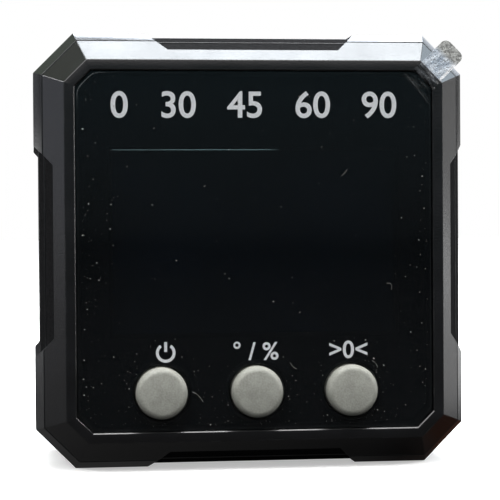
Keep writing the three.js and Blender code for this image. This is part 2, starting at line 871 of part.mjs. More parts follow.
// Least clear distance between stretches of a tube that aren't next to each other
function leastGap(line, diameter) {
  const samples = [];
  let travelled = 0;
  for (let i = 0; i + 1 < line.length; i += 1) {
    const span = line[i].distanceTo(line[i + 1]);
    for (let s = 0; s < springSteps; s += 1) {
      const share = s / springSteps;
      samples.push([travelled + span * share, line[i].clone().lerp(line[i + 1], share)]);
    }
    travelled += span;
  }
  const apart = diameter * Math.PI;
  let least = Infinity;
  for (const [startAt, start] of samples) {
    for (const [endAt, end] of samples) {
      if (endAt - startAt > apart) {
        least = Math.min(least, start.distanceTo(end) - diameter);
      }
    }
  }
  return least;
}

function batterySpring() {
  const line = springLine();
  const gap = leastGap(line, springWire);
  const verdict = gap > springGapLeast ? 'clear' : 'too close';
  console.log(`battery spring: least gap to itself ${gap.toFixed(2)} mm, ${verdict}`);
  return tube(line, springWire / 2, springSides);
}

// Dimple that meets a cell's nipple, standing in from the plate of the right end
function dimple(z) {
  const geometry = new THREE.CylinderGeometry(
    dimpleTopRadius, dimpleRadius, dimpleHeight + plateThickness / 2, smallSides);
  geometry.rotateZ(Math.PI / 2);
  geometry.translate(plateFace - (dimpleHeight - plateThickness / 2) / 2, cellAxis, z);
  return solid(geometry);
}

// Flat contact plate at the right end of the bay, from one height to another
function endPlate(bottom, top) {
  const half = (top - bottom) / 2;
  const geometry = new THREE.ExtrudeGeometry(plateShape(plateHalf, half, plateCut),
    { depth: plateThickness, bevelEnabled: false });
  geometry.applyMatrix4(new THREE.Matrix4().makeBasis(
    new THREE.Vector3(0, 1, 0), new THREE.Vector3(0, 0, 1), new THREE.Vector3(1, 0, 0)));
  geometry.translate(plateFace, cellAxis, (top + bottom) / 2);
  return solid(geometry);
}

// End contact with its tail through the bay floor
function endContact(z, withDimple) {
  const tail = block(plateFace, plateFace + plateThickness,
    bayFront - tailReach, cellAxis - plateHalf + weldDepth, z - tailHalf, z + tailHalf);
  const plate = endPlate(z - plateHalf, z + plateHalf).add(tail);
  return withDimple ? plate.add(dimple(z)) : plate;
}

// Contact that joins the two cells at the left end: drawn on the right and turned over
function bridgeContact() {
  const plate = endPlate(-cellOffset - plateHalf, cellOffset + plateHalf).add(dimple(cellOffset));
  return plate.rotate([0, 180, 0]);
}

// Lead from the tail of an end contact down to the back of the board
function batteryLead() {
  const level = bayFront - tailReach / 2 - leadRadius / 2;
  const start = plateFace - seatGap;
  const turnAt = start - leadRun;
  const line = [new THREE.Vector3(start, level, 0), new THREE.Vector3(turnAt, level, 0)];
  for (let i = 1; i <= leadSteps; i += 1) {
    const turn = (Math.PI / 2) * (i / leadSteps);
    const x = turnAt - leadBend * Math.sin(turn);
    line.push(new THREE.Vector3(x, level - leadBend * (1 - Math.cos(turn)), 0));
  }
  line.push(new THREE.Vector3(turnAt - leadBend, boardBack + chipGap, 0));
  return tube(line, leadRadius, leadSides);
}

// Battery cover: plate with two hooks below, a latch above, a rib inside and a grip outside
function batteryCover() {
  const plate = slab(plateShape(coverHalf, coverHeight, coverCorner), coverFront, bodyDepth);
  const latch = block(-latchHalf, latchHalf, coverFront, bodyDepth, 0, coverHeight + latchReach);
  const hooks = [-hookShare, hookShare].flatMap(share => {
    const x = share * coverHalf;
    const front = coverFront - hookThickness - (coverFront - panelFront) - seatGap;
    const back = front + hookThickness;
    const neck = block(x - hookHalf, x + hookHalf, front, coverFront + weldDepth,
      -coverHeight, hookNeck - coverHeight);
    const lip = block(x - hookHalf, x + hookHalf, front, back,
      -coverHeight - hookReach, hookNeck - coverHeight);
    return [neck, lip];
  });
  const ribLength = ribLengthShare * coverHalf;
  const rib = block(-ribLength, ribLength, coverFront - ribDepth, coverFront + weldDepth, -ribHalf, ribHalf);
  const grooves = [];
  for (let i = 0; i < gripCount; i += 1) {
    const top = coverHeight - gripInset - i * gripPitch;
    const floor = bodyDepth - gripDepth;
    grooves.push(block(-gripHalf, gripHalf, floor, bodyDepth + overrun, top - gripWidth, top));
  }
  return cutAll(joinAll([plate, latch, ...hooks, rib]), grooves);
}

// Disc magnet about its own upright axis, from its face at 0
function discMagnet() {
  const edge = magnetChamfer;
  const geometry = new THREE.LatheGeometry([
    new THREE.Vector2(0, 0),
    new THREE.Vector2(magnetRadius - edge, 0),
    new THREE.Vector2(magnetRadius, edge),
    new THREE.Vector2(magnetRadius, magnetThickness),
    new THREE.Vector2(0, magnetThickness),
  ], roundSides);
  return solid(geometry);
}

// Materials, one call for each finish
function finish(color, roughness, metalness = 0) {
  return new THREE.MeshStandardMaterial({ color, roughness, metalness });
}

const housingPlastic = () => finish(0x1b1b1d, 0.5);
const windowPlastic = () => finish(0x0a0d12, 0.08);
const clearFilm = () => new THREE.MeshStandardMaterial({
  color: 0xd8dde2, roughness: 0.15, metalness: 0, transparent: true, opacity: 0.12,
});
const capPlastic = () => finish(0x9a9b95, 0.6);
const blackTape = () => finish(0x101010, 0.9);
const displayGlass = () => finish(0x1c2a33, 0.2);
const whitePlastic = () => finish(0xe4e6e6, 0.5);
const contactRubber = () => finish(0xc98a8a, 0.8);
const boardLaminate = () => finish(0x14532d, 0.5);
const chipPlastic = () => finish(0x1d1d20, 0.6);
const plungerPlastic = () => finish(0x2a2a2a, 0.6);
const platedSteel = () => finish(0xb9bcc0, 0.3, 1);
const blackSteel = () => finish(0x2b2b2d, 0.4, 1);
const cellSleeve = () => finish(0x24568f, 0.4);
const nickelMagnet = () => finish(0xc8cacc, 0.25, 1);
const redSleeve = () => finish(0xa01818, 0.5);
const blackSleeve = () => finish(0x151515, 0.5);

const inclinometer = new THREE.Group();

// Everything is placed from the middle of the front face, with depth along +Y
const face = new THREE.Group();
face.position.set(0, -(bodyDepth - capProud) / 2, bodyHalf);
inclinometer.add(face);

function place(name, body, material, x = 0, depth = 0, z = 0) {
  const mesh = new THREE.Mesh(drawn(body), material);
  mesh.name = name;
  mesh.position.set(x, depth, z);
  face.add(mesh);
  return mesh;
}

// Housing, window and film
place('front_housing', frontHousing(), housingPlastic());
place('rear_housing', rearHousing(), housingPlastic());
place('front_lens', frontLens(), windowPlastic());
place('lens_tape', lensTape(), blackTape());
place('protective_film', protectiveFilm(), clearFilm());
const tab = place('film_pull_tab', pullTab(), clearFilm());
tab.rotation.y = -Math.PI / 4;

// Display stack and board
place('display_panel', displayPanel(), displayGlass());
place('display_carrier', displayCarrier(), whitePlastic());
place('backlight_diffuser', backlightDiffuser(), whitePlastic());
place('contact_strip', contactStrip(), contactRubber());
place('main_board', mainBoard(), boardLaminate());
place('processor_chip', chip(processorSize, processorDepth), chipPlastic(),
  -processorSide, 0, processorRise);
place('tilt_sensor', chip(sensorSize, sensorDepth), chipPlastic(), sensorSide, 0, sensorRise);
const crystal = place('crystal_can', crystalCan(), platedSteel(),
  -processorSide, boardBack + chipGap + crystalRadius, -crystalDrop);
crystal.rotation.z = -Math.PI / 2;

// Buttons with their switches
const buttonNames = ['left', 'middle', 'right'];
buttonNames.forEach((name, i) => {
  const x = buttonPlaces[i];
  place(`button_cap_${name}`, buttonCap(), capPlastic(), x, 0, buttonRow);
  place(`switch_plunger_${name}`, switchPlunger(), plungerPlastic(), x, 0, buttonRow);
  place(`switch_body_${name}`, switchBody(), platedSteel(), x, 0, buttonRow);
});

// Screws
const cornerNames = ['upper_right', 'upper_left', 'lower_left', 'lower_right'];
corners(postOffset).forEach(([x, z], i) => {
  place(`housing_screw_${cornerNames[i]}`, housingScrew(), blackSteel(), x, 0, z);
});
boardScrewPlaces.forEach(([x, z], i) => {
  place(`board_screw_${cornerNames[i]}`, boardScrew(), platedSteel(), x, 0, z);
});

// Cells, springs, contacts and leads: the upper cell points right, the lower one left
const rows = [{ name: 'upper', side: 1 }, { name: 'lower', side: -1 }];
for (const { name, side } of rows) {
  const z = side * cellOffset;
  const cell = place(`battery_cell_${name}`, batteryCell(), cellSleeve(), side * cellEnd, cellAxis, z);
  cell.rotation.z = -side * Math.PI / 2;
  const spring = place(`battery_spring_${name}`, batterySpring(), platedSteel(),
    side * (seatGap - plateFace), cellAxis, z);
  spring.rotation.z = -side * Math.PI / 2;
}
place('contact_positive', endContact(cellOffset, true), platedSteel());
place('contact_negative', endContact(-cellOffset, false), platedSteel());
place('contact_bridge', bridgeContact(), platedSteel());
place('lead_positive', batteryLead(), redSleeve(), 0, 0, cellOffset);
place('lead_negative', batteryLead(), blackSleeve(), 0, 0, -cellOffset);

// Battery cover
place('battery_cover', batteryCover(), housingPlastic());

// Magnets in the base pads
const padNames = ['left', 'right'];
const depthNames = ['front', 'rear'];
[-padMiddle, padMiddle].forEach((x, i) => {
  magnetDepths.forEach((depth, k) => {
    const magnet = place(`base_magnet_${padNames[i]}_${depthNames[k]}`, discMagnet(), nickelMagnet(),
      x, depth, magnetSink - bodyHalf);
    magnet.rotation.x = Math.PI / 2;
  });
});

export default inclinometer;
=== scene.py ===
import math
import random

import bmesh
import bpy
from mathutils import Matrix, Vector


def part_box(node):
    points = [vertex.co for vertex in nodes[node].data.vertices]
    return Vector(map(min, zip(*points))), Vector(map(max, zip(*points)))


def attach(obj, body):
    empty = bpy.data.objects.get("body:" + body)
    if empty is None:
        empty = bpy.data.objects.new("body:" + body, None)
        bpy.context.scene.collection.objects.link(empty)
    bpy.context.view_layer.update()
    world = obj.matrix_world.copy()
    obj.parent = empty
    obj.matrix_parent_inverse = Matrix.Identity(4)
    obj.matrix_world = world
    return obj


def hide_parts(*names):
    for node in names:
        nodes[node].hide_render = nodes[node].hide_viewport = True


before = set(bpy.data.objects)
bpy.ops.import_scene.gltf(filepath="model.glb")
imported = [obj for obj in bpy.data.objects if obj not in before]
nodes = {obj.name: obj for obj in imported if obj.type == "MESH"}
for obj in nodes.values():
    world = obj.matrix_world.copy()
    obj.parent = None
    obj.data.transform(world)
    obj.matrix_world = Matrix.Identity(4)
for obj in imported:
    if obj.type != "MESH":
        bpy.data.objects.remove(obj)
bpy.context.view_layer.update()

# Metres in a millimetre, the distances at which points are one or flush, and the steps of a full
# turn seen up close
MM = 0.001
SAME = 0.001 * MM
FLUSH = 0.01 * MM
ROUND = 96
BACK = Vector((0, 1, 0))
RIGHT = Vector((1, 0, 0))
UP = Vector((0, 0, 1))

# The middle of the front face, from which pieces are placed with depth along +Y, and how far the
# housing reaches to its sides and back from there
body_low, body_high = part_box("rear_housing")
FACE = Vector((0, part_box("front_housing")[0].y, (body_low.z + body_high.z) / 2))
BODY_HALF = (body_high.x - body_low.x) / 2
BODY_BACK = body_high.y - FACE.y

# Housing, as in the CAD model: half widths, the corners cut off its face and window, how far a cut
# corner of the face is from the middle, depths, and the edge of the mask over the display
FACE_HALF = 23.3 * MM
PARTING_HALF = 25.95 * MM
VIEW_HALF = 17.5 * MM
FACE_CUT = 2.73 * MM
WINDOW_CUT = 2.0 * MM
CUT_REACH = (2 * FACE_HALF - FACE_CUT) * math.sqrt(0.5)
BEVEL_DEPTH = 3.6 * MM
LIP_BACK = 5.9 * MM
MASK_EDGE = 12.46 * MM

# What tells its regions apart, by their distance from the axis or from a surface: the opening's
# edge within the first, the outside of the rim, of a recess and of the rear shell past the others
OPENING_LIMIT = 22.3 * MM
RIM_LIMIT = 22.6 * MM
INNER_LIMIT = 24.5 * MM
SKIN_LIMIT = 24.95 * MM
RECESS_STEP = 0.05 * MM
COVER_SKIN = 0.5 * MM

# Rounding of its outside edges and of the opening's, and how far its rim rolls off to the bevel
RUBBED_EDGE = 0.08 * MM
OPENING_EDGE = 0.12 * MM
ROLL_OFF = 0.9 * MM

# Window and film: how much wider each side is than in CAD, their rounded edges, and the film's rounded
# corners, its cut edge and the place of the highlight painted on its corner
WINDOW_GROWTH = 0.08 * MM
WINDOW_EDGE = 0.04 * MM
FILM_GROWTH = 0.2 * MM
FILM_EDGE = 0.03 * MM
FILM_CORNER = 0.7 * MM
FILM_MARGIN = 0.1 * MM
FILM_HIGHLIGHT_CORNER = 21.0 * MM

# Buttons
FLANGE_WIDTH = 0.55 * MM
FLANGE_HEIGHT = 1.0 * MM
CAP_EDGE = 0.75 * MM
CAP_EDGE_STEPS = 8
CAP_CROWN = 0.12 * MM
CAP_CLEARANCE = 0.25 * MM
FILM_HOLE_GAP = 0.5 * MM

# Pull tab of the film, along the diagonal of the top right corner
TAB_WIDTH = 3.2 * MM
TAB_SHIFT = 0.1 * MM
TAB_RIGHT = TAB_SHIFT - TAB_WIDTH / 2
TAB_ROOT = 0.9 * MM
TAB_START = 28.1 * MM
TAB_CLIMB = 28.9 * MM
TAB_RIM = 29.9 * MM
TAB_BEVEL = 31.0 * MM
TAB_TIP = 33.6 * MM
TAB_END = 35.2 * MM

# Print on the window's front, and the glowing line at the end of the mask on its back, a painted
# highlight
PRINT_DEPTH = 0.375 * MM
PRINT_THICKNESS = 0.02 * MM
LINE_WIDTH = 0.11 * MM
LINE_END = 3.4 * MM

# Cells: where the pale band starts, and the pole
BAND_START = 31.0 * MM
POLE_HEIGHT = 1.0 * MM
POLE_RADIUS = 1.9 * MM
POLE_FOOT = 2.3 * MM


# Small helpers

def linear(code):
    """Linear colour of an sRGB hex code."""
    def channel(value):
        return value / 12.92 if value <= 0.04045 else ((value + 0.055) / 1.055) ** 2.4
    return tuple(channel(int(code[start:start + 2], 16) / 255) for start in (1, 3, 5)) + (1.0,)


WHITE = linear("#ffffff")


def per(size):
    """Scale of a texture whose features measure this many millimetres."""
    return 1 / (size * MM)


def add(tree, kind, inputs=None, to=None, **settings):
    """Adds a node: settings are its properties, each input takes a value, an output or another node,
    and its own output goes to an input if one is given. A node stands for its first output. A Map
    Range takes 0 its value, 1 and 2 where it starts and ends, 3 and 4 what it gives there, which is
    0 and 1 if nothing else is said."""
    made = tree.nodes.new("ShaderNode" + kind)
    for name, value in settings.items():
        setattr(made, name, value)
    for name, value in (inputs or {}).items():
        if isinstance(value, bpy.types.Node):
            value = value.outputs[0]
        if isinstance(value, bpy.types.NodeSocket):
            tree.links.new(value, made.inputs[name])
        else:
            made.inputs[name].default_value = value
    if to is not None:
        tree.links.new(made.outputs[0], to)
    return made


def begin(name, colour, roughness, values=None):
    """New material with the values of its shader, and the place on the object for its patterns."""
    made = bpy.data.materials.new(name)
    made.use_nodes = True
    tree = made.node_tree
    shader = tree.nodes["Principled BSDF"]
    shader.inputs["Base Color"].default_value = linear(colour)
    shader.inputs["Roughness"].default_value = roughness
    for key, value in (values or {}).items():
        shader.inputs[key].default_value = value
    return made, tree, shader, add(tree, "TexCoord").outputs["Object"]


def tint(tree, shader, pattern, dark, light, low=0.0, high=1.0):
    """Colours the shader from one hex code to another where a pattern rises from low to high."""
    share = add(tree, "MapRange", {0: pattern, 1: low, 2: high})
    mixed = add(tree, "Mix", {0: share, 6: linear(dark), 7: linear(light)}, data_type="RGBA")
    tree.links.new(mixed.outputs[2], shader.inputs["Base Color"])


def relief(tree, shader, height, depth):
    """Gives the shader a relief of this depth in millimetres, on top of any that it has."""
    normal = shader.inputs["Normal"]
    inputs = {"Height": height, "Strength": 1.0, "Distance": depth * MM}
    if normal.is_linked:
        inputs["Normal"] = normal.links[0].from_socket
    add(tree, "Bump", inputs, normal)


# Materials, one function for each finish

def roll_off(tree, shader, place):
    """Lets the rim of the front fall away to its outline, so that reflections fade in there."""
    local = add(tree, "VectorMath", {0: place, 1: FACE}, operation="SUBTRACT")
    folded = add(tree, "VectorMath", {0: local}, operation="ABSOLUTE")
    side = add(tree, "SeparateXYZ", {"Vector": folded}).outputs
    square = add(tree, "Math", {0: side["X"], 1: side["Z"]}, operation="MAXIMUM")
    both = add(tree, "Math", {0: side["X"], 1: side["Z"]}, operation="ADD")
    cut = add(tree, "Math", {0: both, 1: math.sqrt(0.5), 2: FACE_HALF - CUT_REACH},
              operation="MULTIPLY_ADD")
    out = add(tree, "Math", {0: square, 1: cut}, operation="MAXIMUM")
    share = add(tree, "MapRange", {0: out, 1: FACE_HALF - ROLL_OFF, 2: FACE_HALF})
    falling = add(tree, "Math", {0: share, 1: -1.0}, operation="MULTIPLY")
    curved = add(tree, "Math", {0: share, 1: falling}, operation="MULTIPLY")
    relief(tree, shader, curved, 0.05)


def satin_abs(name, rolled=False):
    # ABS moulded against fine spark-eroded steel: near black, with an even grain that spreads
    # reflections into soft bands, and a faint mottle. The grain is drawn 0.24 mm wide, coarser
    # than the real one, so that it shows. A rolled rim falls away to the bevel by 0.05 mm
    made, tree, shader, place = begin(name, "#131314", 0.22)
    grain = add(tree, "TexNoise", {"Vector": place, "Scale": per(0.24), "Detail": 2.0})
    relief(tree, shader, grain, 0.012)
    if rolled:
        roll_off(tree, shader, place)
    mottle = add(tree, "TexNoise", {"Vector": place, "Scale": per(6.0), "Detail": 3.0})
    tint(tree, shader, mottle, "#0d0d0e", "#131315", 0.35, 0.65)
    add(tree, "MapRange", {0: mottle, 1: 0.3, 2: 0.7, 3: 0.2, 4: 0.26}, shader.inputs["Roughness"])
    return made


def recess_abs():
    # The same ABS from a coarser, sand-like part of the mould: its grain, drawn 0.32 mm wide so that
    # it shows, scatters nearly all the light, for an even dark grey with hardly any reflection
    made, tree, shader, place = begin("black_abs_recess", "#1c1c1d", 0.8, {"Specular IOR Level": 0.015})
    grain = add(tree, "TexNoise", {"Vector": place, "Scale": per(0.32), "Detail": 3.0})
    relief(tree, shader, grain, 0.03)
    tint(tree, shader, grain, "#171718", "#232324", 0.35, 0.65)
    return made


def rubbed_abs():
    # ABS edges rubbed by handling: a little lighter than the faces beside them and without their
    # grain, broken up along their length
    made, tree, shader, place = begin("black_abs_rubbed_edge", "#1c1c1d", 0.26)
    wear = add(tree, "TexNoise", {"Vector": place, "Scale": per(1.8), "Detail": 4.0})
    tint(tree, shader, wear, "#131314", "#262627", 0.45, 0.7)
    return made


def tinted_acrylic():
    # Clear acrylic printed black behind: a deep, wet-looking black, through which the display is
    # only just seen; the sheet is very slightly uneven, which bends reflections
    made, tree, shader, place = begin("window_acrylic_tinted", "#07090b", 0.06, {"Alpha": 0.62})
    swell = add(tree, "TexNoise", {"Vector": place, "Scale": per(16.0), "Detail": 1.0})
    relief(tree, shader, swell, 0.03)
    return made


def diagonal(tree, place):
    """Distance from the middle of the face towards its top right corner, and square to that."""
    local = add(tree, "VectorMath", {0: place, 1: FACE}, operation="SUBTRACT")
    found = [add(tree, "VectorMath", {0: local, 1: way.normalized()}, operation="DOT_PRODUCT")
             for way in (RIGHT + UP, UP - RIGHT)]
    return [node.outputs["Value"] for node in found]


def drawn_streaks(tree, along, across):
    """Streaks across the tab's length, which its pull leaves in the film and the tab alike."""
    stretched = add(tree, "Math", {0: across, 1: 0.25}, operation="MULTIPLY")
    drawn = add(tree, "CombineXYZ", {"X": along, "Y": stretched})
    return add(tree, "TexNoise", {"Vector": drawn, "Scale": per(0.6), "Detail": 4.0})


def cling_film():
    # Polyethylene protective film: clear and thin, so that it shows only as a faint gloss, with
    # fine dust on it in patches and a streaky haze where the pull on its tab has lifted a corner
    made, tree, shader, place = begin("film_polyethylene", "#20262a", 0.2, {"Alpha": 0.06})
    region = add(tree, "TexNoise", {"Vector": place, "Scale": per(7.0), "Detail": 3.0})
    dusty = add(tree, "MapRange", {0: region, 1: 0.5, 2: 0.66})
    cells = add(tree, "TexVoronoi", {"Vector": place, "Scale": per(0.9)})
    specks = add(tree, "MapRange", {0: cells, 1: 0.03, 2: 0.07, 3: dusty, 4: 0.0})
    along, across = diagonal(tree, place)
    aside = add(tree, "Math", {0: across}, operation="ABSOLUTE")
    near = add(tree, "MapRange", {0: aside, 1: 1.2 * MM, 2: 2.8 * MM, 3: 1.0, 4: 0.0})
    lifted = add(tree, "MapRange", {
        0: along, 1: TAB_START - 0.4 * MM, 2: TAB_CLIMB + 0.4 * MM, 4: near})
    haze = add(tree, "MapRange", {0: drawn_streaks(tree, along, across), 1: 0.4, 2: 0.8, 4: lifted})
    marked = add(tree, "Math", {0: specks, 1: haze}, operation="MAXIMUM")
    tint(tree, shader, marked, "#20262a", "#b4b6b4")
    add(tree, "MapRange", {0: marked, 3: 0.06, 4: 0.3}, shader.inputs["Alpha"])
    swell = add(tree, "TexNoise", {"Vector": place, "Scale": per(12.0), "Detail": 2.0})
    relief(tree, shader, swell, 0.05)
    return made


def film_edge():
    # Cut edge of the same film, stretched by the blade into a ragged pale line: it shows round the top
    # left corner as a painted highlight, and is hardly seen elsewhere
    made, tree, shader, place = begin("film_cut_edge_painted_highlight", "#9aa4a6", 0.35, {"Alpha": 0.2})
    torn = add(tree, "TexNoise", {"Vector": place, "Scale": per(6.0), "Detail": 3.0})
    tint(tree, shader, torn, "#6f787a", "#b9c2c4")
    # Painted highlight: paler and more opaque within 4 mm of the top left corner
    from_corner = add(tree, "VectorMath", {
        0: place, 1: FACE + (UP - RIGHT) * FILM_HIGHLIGHT_CORNER}, operation="DISTANCE").outputs["Value"]
    near = add(tree, "MapRange", {0: from_corner, 1: 1.6 * MM, 2: 4.0 * MM, 3: 1.0, 4: 0.1})
    ragged = add(tree, "MapRange", {0: torn, 1: 0.3, 2: 0.7, 3: 0.12, 4: 0.34})
    add(tree, "Math", {0: ragged, 1: near}, shader.inputs["Alpha"], operation="MULTIPLY")
    return made


def film_fold():
    # Hairline crease in the film: a stretched, whitish line that comes and goes
    made, tree, shader, place = begin("film_crease_white", "#8d9394", 0.4, {"Alpha": 0.3})
    faint = add(tree, "TexNoise", {"Vector": place, "Scale": per(1.5), "Detail": 2.0})
    tint(tree, shader, faint, "#6d7374", "#a9afb0")
    add(tree, "MapRange", {0: faint, 1: 0.3, 2: 0.7, 3: 0.18, 4: 0.36}, shader.inputs["Alpha"])
    return made


def tab_film():
    # Polyester pull tab: clear on the film, with a drawn haze over the rim, pale and nearly opaque over
    # the bevel, where a painted highlight adds to its frosting, greyer and mottled by the press at its
    # tip, and plain white along the cut edge on the right, a painted highlight
    made, tree, shader, place = begin("tab_polyester_frosted", "#e6ebef", 0.3, {"Alpha": 0.7})
    along, across = diagonal(tree, place)
    stretched = add(tree, "Math", {0: along, 1: 0.3}, operation="MULTIPLY")
    folds = add(tree, "CombineXYZ", {"X": stretched, "Y": across})
    wrinkle = add(tree, "TexNoise", {"Vector": folds, "Scale": per(0.5), "Detail": 4.0})
    wrinkled = add(tree, "MapRange", {0: wrinkle, 1: 0.35, 2: 0.65})
    mottle = add(tree, "TexNoise", {"Vector": place, "Scale": per(0.34), "Detail": 3.0})
    pressed = add(tree, "MapRange", {0: mottle, 1: 0.38, 2: 0.56})
    at_tip = add(tree, "MapRange", {0: along, 1: TAB_TIP - 0.3 * MM, 2: TAB_TIP + 0.3 * MM})
    # Painted highlight: white along the right cut edge, fading out at the tip
    painted_glint_side = add(tree, "MapRange", {0: across, 1: TAB_RIGHT + 0.32 * MM, 2: TAB_RIGHT + 0.12 * MM})
    edge = add(tree, "MapRange", {
        0: along, 1: TAB_TIP + 0.6 * MM, 2: TAB_TIP - 0.2 * MM, 4: painted_glint_side})
    body = add(tree, "Mix", {0: wrinkled, 6: linear("#bcc5cf"), 7: linear("#f1f5f9")}, data_type="RGBA")
    tip = add(tree, "Mix", {0: pressed, 6: linear("#949491"), 7: linear("#cdcdc9")}, data_type="RGBA")
    joined = add(tree, "Mix", {0: at_tip, 6: body.outputs[2], 7: tip.outputs[2]}, data_type="RGBA")
    coloured = add(tree, "Mix", {0: edge, 6: joined.outputs[2], 7: WHITE}, data_type="RGBA")
    tree.links.new(coloured.outputs[2], shader.inputs["Base Color"])
    # Pale and nearly opaque from the bevel outward: over the bevel a painted highlight, at the tip the
    # tab's own frosting
    frosted = add(tree, "MapRange", {
        0: along, 1: TAB_BEVEL - 0.1 * MM, 2: TAB_BEVEL + 0.25 * MM, 4: 0.86})
    rising = add(tree, "MapRange", {0: along, 1: TAB_CLIMB + 0.5 * MM, 2: TAB_BEVEL, 4: 0.5})
    veil = add(tree, "MapRange", {0: drawn_streaks(tree, along, across), 1: 0.42, 2: 0.78, 4: rising})
    add(tree, "Math", {0: frosted, 1: veil}, shader.inputs["Alpha"], operation="MAXIMUM")
    relief(tree, shader, wrinkle, 0.08)
    relief(tree, shader, pressed, 0.03)
    return made


def cap_abs():
    # Warm grey ABS with a fine matt grain, as on moulded keys. The grain is drawn 0.22 mm wide,
    # coarser than the real one, so that it shows
    made, tree, shader, place = begin("grey_abs_keycap", "#9b9c95", 0.55)
    grain = add(tree, "TexNoise", {"Vector": place, "Scale": per(0.22), "Detail": 3.0})
    mottle = add(tree, "TexNoise", {"Vector": place, "Scale": per(1.4), "Detail": 3.0})
    relief(tree, shader, grain, 0.02)
    both = add(tree, "Math", {0: grain, 1: mottle}, operation="ADD")
    tint(tree, shader, both, "#91928a", "#a7a8a0", 0.75, 1.25)
    return made


def print_ink():
    # Screen-printed light grey ink: flat and opaque, thinner in tiny spots
    made, tree, shader, place = begin("ink_light_grey", "#eef1f4", 0.5)
    spots = add(tree, "TexNoise", {"Vector": place, "Scale": per(0.25), "Detail": 2.0})
    tint(tree, shader, spots, "#e6e9ec", "#f6f9fc", 0.3, 0.7)
    return made


def foam_tape():
    # Closed-cell black foam tape: dead matt, pitted by its small cells
    made, tree, shader, place = begin("tape_black_foam", "#0c0c0c", 0.95, {"Specular IOR Level": 0.2})
    cells = add(tree, "TexVoronoi", {"Vector": place, "Scale": per(0.3)})
    relief(tree, shader, cells, 0.03)
    tint(tree, shader, cells, "#0a0a0a", "#151515")
    return made


def display_glass():
    # Switched-off display under its polariser: smooth, dark glass. Its blue-grey tone and faint
    # clouding are partly its own colour and partly a painted reflection, the bluish sheen that the
    # window shows over it
    made, tree, shader, place = begin("display_glass_dark_painted_sheen", "#2a3f5c", 0.12)
    cloud = add(tree, "TexNoise", {"Vector": place, "Scale": per(14.0), "Detail": 2.0})
    tint(tree, shader, cloud, "#1f3048", "#2f486a", 0.35, 0.65)
    return made


def mask_edge():
    # Edge of the window's black back print, as a painted highlight: a glowing hair of cyan-white that
    # stands for the light it catches inside the acrylic, fainter at its left end, that dies away past
    # the middle of the display
    made, tree, shader, place = begin("window_print_edge_painted_glint", "#c8e4e8", 0.3, {
        "Emission Color": linear("#b9dfe4"), "Emission Strength": 1.0})
    across = add(tree, "SeparateXYZ", {"Vector": place}).outputs["X"]
    uneven = add(tree, "TexNoise", {"Vector": place, "Scale": per(2.5), "Detail": 2.0})
    broken = add(tree, "MapRange", {0: uneven, 1: 0.3, 2: 0.7, 3: 0.6, 4: 1.0})
    rising = add(tree, "MapRange", {0: across, 1: -VIEW_HALF, 2: -6.0 * MM, 3: 0.35, 4: 1.0})
    lit = add(tree, "Math", {0: rising, 1: broken}, operation="MULTIPLY")
    add(tree, "MapRange", {0: across, 1: 0.2 * MM, 2: 3.2 * MM, 3: lit, 4: 0.0}, shader.inputs["Alpha"])
    return made


def white_moulding():
    # White ABS carrier: bright, with faint flow marks
    made, tree, shader, place = begin("white_abs_moulding", "#e2e4e3", 0.5)
    flow = add(tree, "TexNoise", {"Vector": place, "Scale": per(4.0), "Detail": 3.0})
    tint(tree, shader, flow, "#d9dbda", "#eceeed", 0.3, 0.7)
    relief(tree, shader, flow, 0.01)
    return made


def frosted_acrylic():
    # Frosted acrylic light guide: milky, with an etched dot screen
    made, tree, shader, place = begin("diffuser_acrylic_frosted", "#eef1f2", 0.45)
    dots = add(tree, "TexVoronoi", {"Vector": place, "Scale": per(0.6), "Randomness": 0.0})
    tint(tree, shader, dots, "#ffffff", "#dfe4e6", 0.15, 0.3)
    return made


def zebra_rubber():
    # Silicone contact strip: black conducting layers in pink rubber, drawn 2.5 mm apart, far
    # coarser than the real ones, so that they show. Wave bands lie 2 pi apart at a scale of 1 / 20
    made, tree, shader, place = begin("silicone_zebra_strip", "#c08888", 0.7)
    layers = add(tree, "TexWave", {"Vector": place, "Scale": per(0.4) / 20}, bands_direction="X")
    tint(tree, shader, layers.outputs["Fac"], "#1a1516", "#c08888", 0.4, 0.6)
    return made


def board_laminate():
    # Glass-epoxy board under green solder resist: glossy, with the weave and the copper showing
    made, tree, shader, place = begin("board_glass_epoxy", "#14532d", 0.32)
    upright = add(tree, "Mapping", {"Vector": place, "Rotation": (math.radians(90), 0, 0)})
    tracks = add(tree, "TexBrick", {
        "Vector": upright, "Scale": per(6.0), "Mortar Size": 0.03, "Brick Width": 0.7,
        "Row Height": 0.2})
    weave = add(tree, "TexNoise", {"Vector": place, "Scale": per(0.5), "Detail": 1.0})
    tint(tree, shader, tracks.outputs["Fac"], "#123f26", "#2c7a44")
    relief(tree, shader, weave, 0.01)
    return made


def chip_epoxy():
    # Moulded epoxy chip package: charcoal black, finely rough all over, with its grain drawn
    # 0.15 mm wide, coarser than the real one, so that it shows
    made, tree, shader, place = begin("chip_moulded_epoxy", "#1b1b1e", 0.6)
    grain = add(tree, "TexNoise", {"Vector": place, "Scale": per(0.15), "Detail": 3.0})
    relief(tree, shader, grain, 0.01)
    tint(tree, shader, grain, "#161618", "#242428")
    return made


def nickel_plate(name, rough):
    # Nickel-plated steel: bright and slightly warm, duller where it has been handled
    made, tree, shader, place = begin(name, "#b9b6ae", rough, {"Metallic": 1.0})
    marks = add(tree, "TexNoise", {"Vector": place, "Scale": per(1.2), "Detail": 4.0})
    add(tree, "MapRange", {0: marks, 1: 0.3, 2: 0.7, 3: rough - 0.08, 4: rough + 0.12},
        shader.inputs["Roughness"])
    tint(tree, shader, marks, "#a9a69f", "#c9c7c1")
    return made


